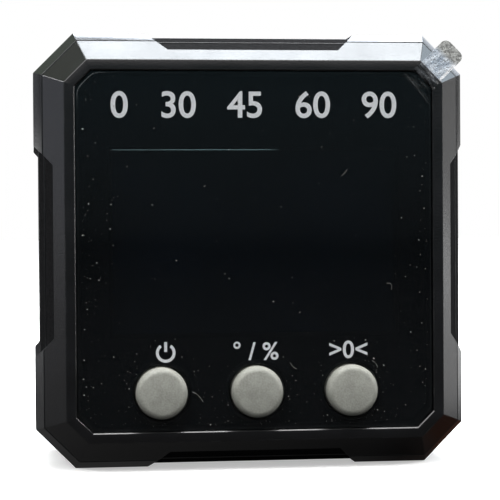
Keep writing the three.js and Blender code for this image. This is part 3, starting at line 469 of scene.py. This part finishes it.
def black_oxide():
    # Blackened screw steel: dark, with bare metal showing where it is rubbed
    made, tree, shader, place = begin("steel_black_oxide", "#2a2a2c", 0.38, {"Metallic": 1.0})
    rub = add(tree, "TexNoise", {"Vector": place, "Scale": per(0.7), "Detail": 4.0})
    tint(tree, shader, rub, "#232325", "#6b6b6c", 0.5, 0.75)
    return made


def cell_sleeve():
    # Shrunk plastic sleeve of a dry cell: glossy dark blue print, faintly rippled
    made, tree, shader, place = begin("cell_sleeve_printed", "#1d4a80", 0.3)
    ripple = add(tree, "TexNoise", {"Vector": place, "Scale": per(2.5), "Detail": 2.0})
    tint(tree, shader, ripple, "#1a4374", "#22558f", 0.3, 0.7)
    relief(tree, shader, ripple, 0.01)
    return made


def cell_band():
    # Pale printed band at the pole's end of the same sleeve
    made, tree, shader, place = begin("cell_sleeve_band", "#c9ccd0", 0.32)
    ripple = add(tree, "TexNoise", {"Vector": place, "Scale": per(2.0), "Detail": 2.0})
    tint(tree, shader, ripple, "#bdc0c4", "#d6d9dc")
    return made


def pvc_sleeve(name, dark, light):
    # Soft PVC wire insulation: a dull gloss and faint extrusion ripples
    made, tree, shader, place = begin(name, light, 0.45)
    ripple = add(tree, "TexNoise", {"Vector": place, "Scale": per(0.8), "Detail": 2.0})
    tint(tree, shader, ripple, dark, light)
    relief(tree, shader, ripple, 0.01)
    return made


def acetal():
    # Black acetal plunger: waxy, smooth
    made, tree, shader, place = begin("black_acetal", "#202021", 0.42)
    haze = add(tree, "TexNoise", {"Vector": place, "Scale": per(0.8), "Detail": 2.0})
    tint(tree, shader, haze, "#1b1b1c", "#272728")
    return made


def lint():
    # Cotton lint and skin dust: small, pale and dull
    made, tree, shader, place = begin("dust_and_lint", "#b9b8b2", 0.9, {"Specular IOR Level": 0.2})
    fleck = add(tree, "TexNoise", {"Vector": place, "Scale": per(0.4), "Detail": 2.0})
    tint(tree, shader, fleck, "#6f6e6a", "#d4d3cd", 0.3, 0.7)
    return made


housing_satin = satin_abs("black_abs_satin")
front_satin = satin_abs("black_abs_satin_front", rolled=True)
housing_recess = recess_abs()
housing_rubbed = rubbed_abs()
window_clear = tinted_acrylic()
film_clear = cling_film()
film_edge_painted_highlight = film_edge()
film_crease = film_fold()
tab_clear = tab_film()
cap_grey = cap_abs()
ink = print_ink()
painted_mask_glint = mask_edge()
chip_black = chip_epoxy()
nickel = nickel_plate("steel_nickel_plated", 0.28)
sleeve_blue = cell_sleeve()
sleeve_pale = cell_band()
dust_pale = lint()


# Pieces

def in_scene(name, shape, materials):
    """Makes a finished bmesh an object at the origin."""
    mesh = bpy.data.meshes.new(name)
    shape.to_mesh(mesh)
    shape.free()
    for material in materials:
        mesh.materials.append(material)
    made = bpy.data.objects.new(name, mesh)
    bpy.context.scene.collection.objects.link(made)
    return made


def piece(name, shape, materials, body="housing", node=None, smooth_below=None):
    """Piece that rides on a CAD body, and stands for a CAD node if one is given."""
    made = in_scene(name, shape, materials)
    if smooth_below is not None:
        made.data.shade_smooth()
        made.data.set_sharp_from_angle(angle=math.radians(smooth_below))
    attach(made, body)
    if node:
        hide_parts(node)


def bevelled(shape, geom, width, segments=2, affect="EDGES"):
    """Rounds edges or corners of a bmesh and returns the new faces."""
    made = bmesh.ops.bevel(shape, geom=geom, offset=width, offset_type="OFFSET", affect=affect,
                           segments=segments, profile=0.5, material=-1, clamp_overlap=True)
    return made["faces"]


def reach(point):
    """Distance of a point from the axis of the square, towards its nearest side."""
    local = point - FACE
    return max(abs(local.x), abs(local.z))


def outline_at(depth):
    """Half width of the housing's outline at a depth."""
    if depth <= BEVEL_DEPTH:
        return FACE_HALF + (PARTING_HALF - FACE_HALF) * depth / BEVEL_DEPTH
    if depth <= LIP_BACK:
        past = (depth - BEVEL_DEPTH) / (LIP_BACK - BEVEL_DEPTH)
        return PARTING_HALF + (BODY_HALF - PARTING_HALF) * past
    return BODY_HALF


def in_recess(face):
    """True for the outside faces of a side recess: its facet, floor and slanted ends."""
    centre = face.calc_center_median()
    local = centre - FACE
    half = reach(centre)
    outward = Vector((local.x, 0, 0)) if abs(local.x) > abs(local.z) else Vector((0, 0, local.z))
    faces_out = face.normal.dot(outward.normalized()) > 0.3
    return INNER_LIMIT < half < outline_at(local.y) - RECESS_STEP and faces_out


def at_opening(point):
    """True on the front edge of the opening for the window."""
    return (point - FACE).y < FLUSH and reach(point) < OPENING_LIMIT


def dressed_shell(node, name, body, satin, on_skin):
    """Copy of a moulded CAD node, merged, with rounded outside edges and its own finishes."""
    flat, fold = math.radians(1), math.radians(12)
    shape = bmesh.new()
    shape.from_mesh(nodes[node].data)
    bmesh.ops.remove_doubles(shape, verts=shape.verts, dist=SAME)
    bmesh.ops.dissolve_limit(shape, angle_limit=flat, verts=shape.verts, edges=shape.edges)
    for face in shape.faces:
        face.material_index = 1 if in_recess(face) else 0
    for chosen, width, segments in ((at_opening, OPENING_EDGE, 1), (on_skin, RUBBED_EDGE, 3)):
        edges = [edge for edge in shape.edges if edge.is_manifold and edge.is_convex
                 and edge.calc_face_angle() > fold and all(chosen(vert.co) for vert in edge.verts)]
        for face in bevelled(shape, edges, width, segments):
            face.material_index = 2
    piece(name, shape, [satin, housing_recess, housing_rubbed], body, node=node)


dressed_shell("front_housing", "front_shell", "housing", front_satin,
              lambda point: reach(point) > RIM_LIMIT and (point - FACE).y < BEVEL_DEPTH)
dressed_shell("rear_housing", "rear_shell", "housing", housing_satin,
              lambda point: reach(point) > SKIN_LIMIT or (point - FACE).y > BODY_BACK - FLUSH)
dressed_shell("battery_cover", "cover_panel", "cover", housing_satin,
              lambda point: (point - FACE).y > BODY_BACK - COVER_SKIN)


def cut_square(half, cut):
    """Corners of a square with cut corners, in turn."""
    near = half - cut
    return [(half, -near), (half, near), (near, half), (-near, half),
            (-half, near), (-half, -near), (-near, -half), (near, -half)]


def pierced_plate(outline, holes, front, back, edge, corner=0.0, margin=0.0):
    """Flat plate with round holes and rounded edges, between two depths. Its outline may have
    rounded corners, and its front face a margin of the plate's second material."""
    shape = bmesh.new()
    shape.faces.new([shape.verts.new((x, 0, z)) for x, z in outline])
    if corner:
        bevelled(shape, shape.verts[:], corner, 6, "VERTICES")
    bmesh.ops.delete(shape, geom=shape.faces[:], context="FACES_ONLY")
    for x, z, radius in holes:
        upright = Matrix.Translation((x, 0, z)) @ Matrix.Rotation(math.pi / 2, 4, "X")
        bmesh.ops.create_circle(shape, cap_ends=False, radius=radius, segments=ROUND, matrix=upright)
    bmesh.ops.triangle_fill(shape, use_beauty=True, use_dissolve=False, edges=shape.edges)
    pushed = bmesh.ops.extrude_face_region(shape, geom=shape.faces)
    far = [part for part in pushed["geom"] if isinstance(part, bmesh.types.BMVert)]
    bmesh.ops.translate(shape, verts=far, vec=BACK * (back - front))
    bmesh.ops.translate(shape, verts=shape.verts, vec=FACE + BACK * front)
    bmesh.ops.recalc_face_normals(shape, faces=shape.faces)
    fold = math.radians(60)
    rims = [side for side in shape.edges if side.is_manifold and side.calc_face_angle() > fold]
    bevelled(shape, rims, edge)
    if margin:
        outer = max(vert.co.x for vert in shape.verts)
        faces = [face for face in shape.faces if face.normal.y < -0.99]
        ring = bmesh.ops.inset_region(shape, faces=faces, thickness=margin, use_boundary=True,
                                      use_even_offset=True)
        for face in ring["faces"]:
            face.material_index = 1 if reach(face.calc_center_median()) > outer - WINDOW_CUT else 0
    return shape


def revolved(profile, centre, axis, steps=ROUND):
    """Form of [radius, distance] points turned about an axis through a centre."""
    shape = bmesh.new()
    across = axis.orthogonal().normalized()
    line = [shape.verts.new(centre + across * radius + axis * distance) for radius, distance in profile]
    for start, end in zip(line, line[1:]):
        shape.edges.new((start, end))
    bmesh.ops.spin(shape, geom=shape.verts[:] + shape.edges[:], cent=centre, axis=axis,
                   angle=2 * math.pi, steps=steps, use_merge=True, use_duplicate=False)
    bmesh.ops.remove_doubles(shape, verts=shape.verts, dist=SAME)
    bmesh.ops.recalc_face_normals(shape, faces=shape.faces)
    return shape


def button_caps():
    """Three round caps, each with a crowned face, a rounded edge and its holding flange. Gives
    their places on the face and their radii."""
    places = []
    for side in ("left", "middle", "right"):
        low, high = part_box(f"button_cap_{side}")
        centre = Vector(((low.x + high.x) / 2, low.y, (low.z + high.z) / 2))
        flange = (high.x - low.x) / 2
        radius = flange - FLANGE_WIDTH
        crown = radius - CAP_EDGE
        skirt = high.y - low.y
        shelf = skirt - FLANGE_HEIGHT
        profile = [(0, 0), (0.5 * crown, 0.3 * CAP_CROWN)]
        for step in range(CAP_EDGE_STEPS + 1):
            turn = math.pi / 2 * step / CAP_EDGE_STEPS
            profile.append((crown + CAP_EDGE * math.sin(turn),
                            CAP_CROWN + CAP_EDGE * (1 - math.cos(turn))))
        profile += [(radius, shelf), (flange, shelf), (flange, skirt), (0, skirt)]
        piece(f"cap_{side}", revolved(profile, centre, BACK), [cap_grey], f"{side}_button",
              f"button_cap_{side}", smooth_below=40)
        local = centre - FACE
        places.append((local.x, local.z, radius))
    return places


cap_places = button_caps()


def face_sheet(node, name, growth, gap, edge, materials, corner=0.0, margin=0.0):
    """Sheet over the front in the place of a CAD node, a little wider, with holes round the caps."""
    low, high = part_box(node)
    outline = cut_square(high.x + growth, WINDOW_CUT)
    holes = [(x, z, radius + gap) for x, z, radius in cap_places]
    shape = pierced_plate(outline, holes, low.y - FACE.y, high.y - FACE.y, edge, corner, margin)
    piece(name, shape, materials, node=node)


face_sheet("front_lens", "window_plate", WINDOW_GROWTH, CAP_CLEARANCE, WINDOW_EDGE,
           [window_clear])
face_sheet("protective_film", "film_sheet", FILM_GROWTH, FILM_HOLE_GAP, FILM_EDGE,
           [film_clear, film_edge_painted_highlight], FILM_CORNER, FILM_MARGIN)


def pull_tab():
    """Strip at 45 degrees that widens into the film, climbs over the rim and ends in a rounded tip."""
    corner, slide = 0.8 * MM, 0.12 * MM
    low, high, lift = 0.08 * MM, -0.12 * MM, 0.35 * MM
    shape = bmesh.new()
    bmesh.ops.create_grid(shape, x_segments=80, y_segments=24, size=0.5)
    for vert in shape.verts:
        along = TAB_START + (TAB_END - TAB_START) * (vert.co.x + 0.5)
        past = max(0.0, along - (TAB_END - corner))
        root = max(0.0, (TAB_BEVEL - along) / (TAB_BEVEL - TAB_START))
        rounding = math.sqrt(max(0.0, corner ** 2 - past ** 2))
        half = TAB_WIDTH / 2 - corner + rounding + TAB_ROOT * root ** 2
        share = min(1.0, max(0.0, (along - TAB_CLIMB) / (TAB_RIM - TAB_CLIMB)))
        eased = share * share * (3 - 2 * share)
        free = max(0.0, along - TAB_RIM) / (TAB_END - TAB_RIM)
        depth = low + (high - low) * eased - lift * free * free
        vert.co = Vector((along, depth, TAB_SHIFT + 2 * vert.co.y * half))
    # Known fault: the normals are still the flat grid's, so the second layer only slides sideways
    # in the surface of the first one, and the strip has no thickness
    bmesh.ops.solidify(shape, geom=shape.faces, thickness=slide)
    slanted = Matrix.Rotation(-math.pi / 4, 3, "Y")
    bmesh.ops.rotate(shape, verts=shape.verts, cent=(0, 0, 0), matrix=slanted)
    bmesh.ops.translate(shape, verts=shape.verts, vec=FACE)
    bmesh.ops.recalc_face_normals(shape, faces=shape.faces)
    piece("tab_strip", shape, [tab_clear], node="film_pull_tab", smooth_below=40)


pull_tab()


def made_solid(source):
    """Mesh of a text or curve object, which is then taken away."""
    bpy.context.scene.collection.objects.link(source)
    finished = source.evaluated_get(bpy.context.evaluated_depsgraph_get())
    solid = bpy.data.meshes.new_from_object(finished)
    bpy.data.objects.remove(source)
    shape = bmesh.new()
    shape.from_mesh(solid)
    bpy.data.meshes.remove(solid)
    bmesh.ops.remove_doubles(shape, verts=shape.verts, dist=0.1 * SAME)
    return shape


def printed(name, characters, across, up, height):
    """Characters in flat ink on the window's front, as high as asked, about a place on the face."""
    # Height of a capital as a share of the font's size, and how much bolder it is printed
    capital, bolder = 0.73, 0.018
    words = bpy.data.curves.new(name, "FONT")
    words.body = characters
    words.size = height / capital
    words.offset = bolder * height
    words.extrude = PRINT_THICKNESS / 2
    words.resolution_u = 6
    shape = made_solid(bpy.data.objects.new(name, words))
    xs = [vert.co.x for vert in shape.verts]
    ys = [vert.co.y for vert in shape.verts]
    middle = Vector(((min(xs) + max(xs)) / 2, (min(ys) + max(ys)) / 2, 0))
    upright = Matrix.Rotation(math.pi / 2, 3, "X")
    bmesh.ops.translate(shape, verts=shape.verts, vec=-middle)
    bmesh.ops.rotate(shape, verts=shape.verts, cent=(0, 0, 0), matrix=upright)
    bmesh.ops.translate(shape, verts=shape.verts, vec=FACE + Vector((across, PRINT_DEPTH, up)))
    bmesh.ops.recalc_face_normals(shape, faces=shape.faces)
    piece(name, shape, [ink])


def standby_symbol(across, up, radius):
    """Open ring with a bar in its gap, in the same ink."""
    line, gap = 0.36 * MM, math.radians(70)
    front, back = PRINT_DEPTH - PRINT_THICKNESS / 2, PRINT_DEPTH + PRINT_THICKNESS / 2
    section = [(radius - line, front), (radius, front), (radius, back), (radius - line, back)]
    shape = bmesh.new()
    start = shape.faces.new([shape.verts.new((x, y, 0)) for x, y in section])
    beside_gap = Matrix.Rotation((gap - math.pi) / 2, 3, "Y")
    bmesh.ops.rotate(shape, verts=start.verts, cent=(0, 0, 0), matrix=beside_gap)
    bmesh.ops.spin(shape, geom=[start], cent=(0, 0, 0), axis=BACK, angle=2 * math.pi - gap, steps=48)
    bmesh.ops.translate(shape, verts=shape.verts, vec=FACE + Vector((across, 0, up)))
    bmesh.ops.recalc_face_normals(shape, faces=shape.faces)
    piece("mark_standby_ring", shape, [ink])
    left, right, foot, top = across - line / 2, across + line / 2, up + 0.1 * radius, up + 1.1 * radius
    bar = [(right, foot), (right, top), (left, top), (left, foot)]
    piece("mark_standby_bar", pierced_plate(bar, [], front, back, 0.004 * MM), [ink])


# Generic marks: plain angles across the top, and a symbol over each cap
printed("mark_angles", "0   30   45   60   90", across=-0.06 * MM, up=17.87 * MM, height=3.3 * MM)
standby_symbol(across=-11.2 * MM, up=-12.4 * MM, radius=1.2 * MM)
printed("mark_units", "\u00b0 / %", across=-0.1 * MM, up=-12.3 * MM, height=2.2 * MM)
printed("mark_zero", ">0<", across=11.4 * MM, up=-12.3 * MM, height=2.2 * MM)


def mask_line():
    """Glowing strip along the upper edge of the mask printed on the window's back: a painted highlight,
    where light enters over the display.
    """
    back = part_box("front_lens")[1].y - FACE.y
    foot = MASK_EDGE - LINE_WIDTH
    near, far, edge = back + 0.01 * MM, back + 0.05 * MM, 0.005 * MM
    outline = [(-VIEW_HALF, foot), (LINE_END, foot), (LINE_END, MASK_EDGE), (-VIEW_HALF, MASK_EDGE)]
    strip = pierced_plate(outline, [], near, far, edge)
    piece("mask_edge_painted_glint", strip, [painted_mask_glint])


mask_line()


def hairs(name, lines, radius, material):
    """Fine round hairs on the film through lists of points, in millimetres from the middle of the
    face: right, depth, up."""
    curve = bpy.data.curves.new(name, "CURVE")
    curve.dimensions = "3D"
    curve.bevel_depth = radius
    curve.bevel_resolution = 1
    curve.use_fill_caps = True
    for points in lines:
        spline = curve.splines.new("NURBS")
        spline.points.add(len(points) - 1)
        spline.use_endpoint_u = True
        spline.order_u = 3
        for point, (x, depth, z) in zip(spline.points, points):
            point.co = (x * MM, depth * MM, z * MM, 1)
    shape = made_solid(bpy.data.objects.new(name, curve))
    bmesh.ops.translate(shape, verts=shape.verts, vec=FACE)
    bmesh.ops.recalc_face_normals(shape, faces=shape.faces)
    piece(name, shape, [material], smooth_below=60)


hairs("lint_fibres", [
    [(-8.0, 0.17, -17.2), (-7.5, 0.13, -17.4), (-7.0, 0.15, -17.9), (-6.7, 0.18, -18.4)],
    [(4.1, 0.17, -13.8), (4.4, 0.14, -14.4), (4.9, 0.16, -14.6)],
    [(14.3, 0.17, -13.7), (14.9, 0.13, -14.0), (15.0, 0.16, -14.6)],
    [(16.2, 0.17, -4.2), (16.6, 0.12, -4.1), (16.9, 0.13, -4.5), (16.8, 0.17, -5.0)],
    [(10.6, 0.17, 9.1), (11.1, 0.14, 9.4), (11.3, 0.16, 9.9)],
], radius=0.018 * MM, material=dust_pale)
hairs("film_hairline", [[(18.65, 0.19, 21.75), (20.2, 0.18, 19.85), (21.7, 0.19, 17.95)]],
      radius=0.022 * MM, material=film_crease)


def dust():
    """Specks of dust on the film: most along the rim and round the caps, fewer in the open."""
    # Gaps and sizes are in millimetres, and the shares are of the tries
    tries, cap_share, rim_share = 430, 0.3, 0.4
    hole_gap, rim_gap, smallest, larger = 0.6, 0.25, 0.022, 0.07
    pick = random.Random(11)
    low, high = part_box("protective_film")
    half, top = high.x - rim_gap * MM, low.y - FACE.y
    shape = bmesh.new()
    for _ in range(tries):
        chance = pick.random()
        size = (smallest + larger * pick.random() ** 4) * MM
        if chance < cap_share:
            x, z, radius = pick.choice(cap_places)
            turn, away = pick.uniform(0, 2 * math.pi), radius + (hole_gap + pick.expovariate(0.8)) * MM
            x, z = x + away * math.cos(turn), z + away * math.sin(turn)
        elif chance < cap_share + rim_share:
            x = half - pick.expovariate(0.7) * MM
            z = pick.uniform(-half, half)
            x, z = pick.choice(((x, z), (-x, z), (z, -x), (-x, z)))
        else:
            x, z = pick.uniform(-half, half), pick.uniform(-half, half)
        if abs(x) > half or abs(z) > half or abs(x) + abs(z) > 2 * half - WINDOW_CUT:
            continue
        gaps = [math.hypot(x - across, z - up) - radius for across, up, radius in cap_places]
        if min(gaps) < hole_gap * MM:
            continue
        turned = Matrix.Rotation(pick.uniform(0, math.pi), 4, "Y")
        squashed = Matrix.Diagonal((pick.uniform(0.8, 1.6), 0.6, pick.uniform(0.6, 1.0), 1))
        placed = Matrix.Translation(FACE + Vector((x, top, z))) @ turned @ squashed
        bmesh.ops.create_icosphere(shape, subdivisions=1, radius=size, matrix=placed)
    piece("dust_specks", shape, [dust_pale])


dust()


def dry_cells():
    """Two cells, each with a printed sleeve, a pale band and bare metal ends."""
    shoulder, sunk_base, sunk_top = 0.35 * MM, 0.25 * MM, 0.2 * MM
    for name, pole in (("upper", 1), ("lower", -1)):
        low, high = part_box(f"battery_cell_{name}")
        length, radius = high.x - low.x, (high.z - low.z) / 2
        foot = Vector((low.x if pole > 0 else high.x, (low.y + high.y) / 2, (low.z + high.z) / 2))
        rim, step = radius - 0.6 * MM, length - POLE_HEIGHT
        base = [(0, sunk_base), (rim, sunk_base), (rim, 0), (radius - 0.3 * MM, 0),
                (radius - 0.08 * MM, 0.1 * MM), (radius, shoulder)]
        top = [(radius, step - shoulder), (radius - 0.1 * MM, step - 0.1 * MM),
               (radius - shoulder, step), (rim, step), (rim, step - sunk_top)]
        tip = [(POLE_FOOT, step - sunk_top), (POLE_RADIUS, step + 0.1 * MM),
               (POLE_RADIUS, length - 0.2 * MM), (POLE_RADIUS - 0.2 * MM, length), (0, length)]
        shape = revolved(base + [(radius, BAND_START)] + top + tip, foot, RIGHT * pole, steps=64)
        for face in shape.faces:
            centre = face.calc_center_median() - foot
            along, away = centre.dot(RIGHT * pole), math.hypot(centre.y, centre.z)
            if away > rim + 0.02 * MM:
                face.material_index = 1 if along < BAND_START else 2
        piece(f"cell_{name}", shape, [nickel, sleeve_blue, sleeve_pale],
              node=f"battery_cell_{name}", smooth_below=35)


dry_cells()


# Finishes of the CAD nodes that stay as they are, by the start of their names
FINISHES = {
    "lens_tape": foam_tape(), "display_panel": display_glass(), "display_carrier": white_moulding(),
    "backlight_diffuser": frosted_acrylic(), "contact_strip": zebra_rubber(),
    "main_board": board_laminate(), "processor_chip": chip_black, "tilt_sensor": chip_black,
    "crystal_can": nickel, "switch_plunger": acetal(), "switch_body": nickel,
    "housing_screw": black_oxide(), "board_screw": nickel, "battery_spring": nickel,
    "contact_": nickel, "lead_positive": pvc_sleeve("pvc_lead_red", "#8e1f1c", "#b02a26"),
    "lead_negative": pvc_sleeve("pvc_lead_black", "#151515", "#242424"),
    "base_magnet": nickel_plate("magnet_nickel_plated", 0.2),
}


def finish_nodes():
    """Gives every CAD node its finish in all its material slots, also those that a piece stands for."""
    worn = {"front_housing": housing_satin, "rear_housing": housing_satin,
            "battery_cover": housing_satin, "battery_cell": sleeve_blue, "button_cap": cap_grey,
            "front_lens": window_clear, "protective_film": film_clear, "film_pull_tab": tab_clear,
            **FINISHES}
    for name, node in nodes.items():
        start = next(key for key in worn if name.startswith(key))
        for slot in node.material_slots:
            slot.material = worn[start]


finish_nodes()


# Studio: floor, backdrop, lamps and camera

def shown_white(tree, ray, coordinate, low, high):
    """1 to the camera, and to reflections and refractions where a coordinate is past its limits."""
    bent = add(tree, "Math", {
        0: ray["Is Glossy Ray"], 1: ray["Is Transmission Ray"]}, operation="MAXIMUM")
    behind = add(tree, "MapRange", {0: coordinate, 1: low, 2: high, 4: bent})
    return add(tree, "Math", {0: ray["Is Camera Ray"], 1: behind}, operation="MAXIMUM")


def floor_paper():
    # Plain matt paper, white to the camera but for the gauge's shadow, and dim to the gauge, so that
    # the black housing stays black. Its reflections still see white paper well behind it, and soft
    # glows as from light that a table sends back: faint ones below it and on its left, a bright one
    # on its right, and a small warm one beside its lower right corner
    made, tree, shader, place = begin("floor_paper", "#f1f1f0", 0.9, {
        "Specular IOR Level": 0.1, "Emission Color": WHITE})
    fibre = add(tree, "TexNoise", {"Vector": place, "Scale": per(3.0), "Detail": 2.0})
    tint(tree, shader, fibre, "#f0f0ef", "#f3f3f2")
    from_middle = add(tree, "VectorMath", {0: place}, operation="LENGTH").outputs["Value"]
    add(tree, "MapRange", {0: from_middle, 1: 50 * MM, 2: 400 * MM, 3: 0.45, 4: 1.0},
        shader.inputs["Emission Strength"])
    ray = add(tree, "LightPath").outputs
    spot = add(tree, "SeparateXYZ", {"Vector": place}).outputs
    shown = shown_white(tree, ray, spot["Y"], 200 * MM, 400 * MM)
    from_corner = add(tree, "VectorMath", {
        0: place, 1: Vector((36.0, -3.0, 0)) * MM}, operation="DISTANCE").outputs["Value"]
    warm = add(tree, "MapRange", {0: from_corner, 1: 10 * MM, 2: 22 * MM, 3: 1.0, 4: 0.0})
    level = add(tree, "Math", {0: warm, 1: 0.16}, operation="MULTIPLY")
    # Glows under the gauge and on its right and left: where they start and end, and their levels
    glows = ((-18, 20, 0.17, 0.05), (50, 100, 0.0, 0.95), (-50, -120, 0.0, 0.18))
    for start, end, first, last in glows:
        glow = add(tree, "MapRange", {0: spot["X"], 1: start * MM, 2: end * MM, 3: first, 4: last})
        level = add(tree, "Math", {0: level, 1: glow}, operation="MAXIMUM")
    away = add(tree, "MapRange", {0: spot["Y"], 1: -40 * MM, 2: 20 * MM, 4: level})
    strength = add(tree, "Math", {0: away, 1: ray["Is Glossy Ray"]}, operation="MULTIPLY")
    brown = add(tree, "Mix", {0: warm, 6: WHITE, 7: linear("#b57f69")}, data_type="RGBA").outputs[2]
    dark = add(tree, "Mix", {0: 1.0, 6: brown, 7: linear("#343434")}, data_type="RGBA",
               blend_type="MULTIPLY").outputs[2]
    glowing = add(tree, "Emission", {"Color": brown, "Strength": strength})
    dim = add(tree, "AddShader", {0: add(tree, "BsdfDiffuse", {"Color": dark}), 1: glowing})
    add(tree, "MixShader", {0: shown, 1: dim, 2: shader},
        tree.nodes["Material Output"].inputs["Surface"])
    return made


def floor():
    """Round floor that the gauge stands on."""
    shape = bmesh.new()
    bmesh.ops.create_circle(shape, cap_ends=True, radius=3000 * MM, segments=64)
    ground = in_scene("floor", shape, [floor_paper()])


floor()


def backdrop():
    """World: white to the camera and, in reflections, straight behind the gauge. Reflections also
    see a soft light in front of it: pale blue near the horizon, white and much brighter higher up,
    and a little brighter on the right. Elsewhere it is dim."""
    world = bpy.data.worlds.new("studio")
    world.use_nodes = True
    bpy.context.scene.world = world
    tree = world.node_tree
    tree.nodes.clear()
    way = add(tree, "SeparateXYZ", {"Vector": add(tree, "TexCoord").outputs["Generated"]}).outputs
    ray = add(tree, "LightPath").outputs
    white = shown_white(tree, ray, way["Y"], 0.93, 0.97)
    dim = add(tree, "MapRange", {0: ray["Is Diffuse Ray"], 3: 0.06, 4: 0.2})
    front = add(tree, "MapRange", {0: way["Y"], 1: 0.2, 2: -0.2, 4: ray["Is Glossy Ray"]})
    low = add(tree, "MapRange", {0: way["Z"], 1: -0.06, 2: 0.11, 4: front})
    upper = add(tree, "MapRange", {0: way["Z"], 1: 0.18, 2: 0.34, 4: 1.35})
    right = add(tree, "MapRange", {0: way["X"], 1: 0.3, 2: 0.45, 4: 0.12})
    around = add(tree, "Math", {0: upper, 1: right}, operation="MAXIMUM")
    above = add(tree, "Math", {0: around, 1: front}, operation="MULTIPLY")
    raised = add(tree, "Math", {0: low, 1: 0.34, 2: above}, operation="MULTIPLY_ADD")
    strength = add(tree, "Math", {0: dim, 1: raised}, operation="MAXIMUM")
    strength = add(tree, "Math", {0: strength, 1: white}, operation="MAXIMUM")
    blue = add(tree, "MapRange", {0: way["Z"], 1: 0.11, 2: 0.15, 3: low, 4: 0.0})
    toned = add(tree, "Mix", {0: blue, 6: WHITE, 7: linear("#a8e2f6")}, data_type="RGBA")
    glow = add(tree, "Background", {"Color": toned.outputs[2], "Strength": strength})
    add(tree, "OutputWorld", {"Surface": glow})


backdrop()

# Lamps, all at one distance from the face: direction, width and height in metres, how bright they
# show, and colour
LAMP_DISTANCE = 0.9
LAMPS = {
    "lamp_overhead": ((0.02, 0.38, 0.92), 0.9, 0.2, 12.0, "#f4faff"),
    "lamp_top": ((0.05, -0.12, 0.99), 0.9, 0.2, 10.0, "#ffffff"),
    "lamp_behind": ((0.16, 0.71, 0.67), 0.44, 0.2, 9.5, "#eef5ff"),
    "lamp_right": ((0.88, 0.46, 0.05), 0.34, 0.9, 0.56, "#ffffff"),
    "lamp_right_lip": ((0.57, 0.8, 0.16), 0.16, 0.3, 0.3, "#ffffff"),
    "lamp_right_rear": ((0.47, 0.8, 0.37), 0.26, 0.26, 1.6, "#eef5ff"),
    "lamp_side": ((0.99, -0.08, 0.04), 0.2, 0.66, 3.8, "#ffffff"),
    "lamp_upper_right": ((0.68, 0.48, 0.56), 0.35, 0.35, 2.5, "#e2f2ff"),
    "lamp_upper_left": ((-0.61, 0.33, 0.72), 0.4, 0.4, 0.27, "#f0ffe0"),
    "lamp_left": ((-0.95, 0.28, 0.28), 0.3, 0.5, 0.6, "#eaf0ff"),
    "lamp_left_rear": ((-0.74, 0.64, 0.21), 0.24, 0.5, 0.28, "#eef4ff"),
    "lamp_left_lip": ((-0.46, 0.69, 0.56), 0.2, 0.2, 0.3, "#eaffe6"),
    "lamp_corner": ((-0.88, 0.24, 0.41), 0.12, 0.12, 20.0, "#ffffff"),
    "lamp_cut": ((0.77, -0.06, 0.63), 0.14, 0.14, 20.0, "#ffffff"),
    "fill_left": ((-0.5, -0.42, 0.76), 0.6, 0.6, 3.5, "#ffffff"),
    "fill_right": ((0.38, -0.42, 0.82), 0.6, 0.6, 3.0, "#ffffff"),
}


def softboxes():
    """Area lamps that face the middle of the front, each for a facet of the housing or for the caps
    and the film."""
    for name, (direction, width, height, radiance, colour) in LAMPS.items():
        lamp = bpy.data.lights.new(name, "AREA")
        lamp.shape = "RECTANGLE"
        lamp.size = width
        lamp.size_y = height
        lamp.color = linear(colour)[:3]
        lamp.energy = 4 * width * height * radiance
        made = bpy.data.objects.new(name, lamp)
        towards = Vector(direction).normalized()
        made.location = FACE + towards * LAMP_DISTANCE
        made.rotation_euler = towards.to_track_quat("Z", "Y").to_euler()
        made.visible_camera = False
        bpy.context.scene.collection.objects.link(made)


softboxes()


def camera():
    """Camera at the photograph's viewing angle, in front of the window."""
    yaw, tilt, roll = math.radians(6.92), math.radians(0.89), math.radians(-0.37)
    from_face = Vector((-0.80, -220.0, 0.07)) * MM
    turn = (Matrix.Rotation(roll, 3, "Y") @ Matrix.Rotation(tilt, 3, "X")
            @ Matrix.Rotation(yaw, 3, "Z")).transposed()
    lens = bpy.data.cameras.new("camera")
    lens.lens = 129.38
    lens.sensor_width = 36.0
    lens.sensor_fit = "HORIZONTAL"
    lens.clip_start = 0.01
    made = bpy.data.objects.new("camera", lens)
    basis = Matrix((turn @ RIGHT, turn @ UP, turn @ -BACK)).transposed()
    made.matrix_world = Matrix.Translation(FACE + turn @ from_face) @ basis.to_4x4()
    bpy.context.scene.collection.objects.link(made)
    bpy.context.scene.camera = made


camera()

bpy.context.scene.view_settings.view_transform = "Standard"
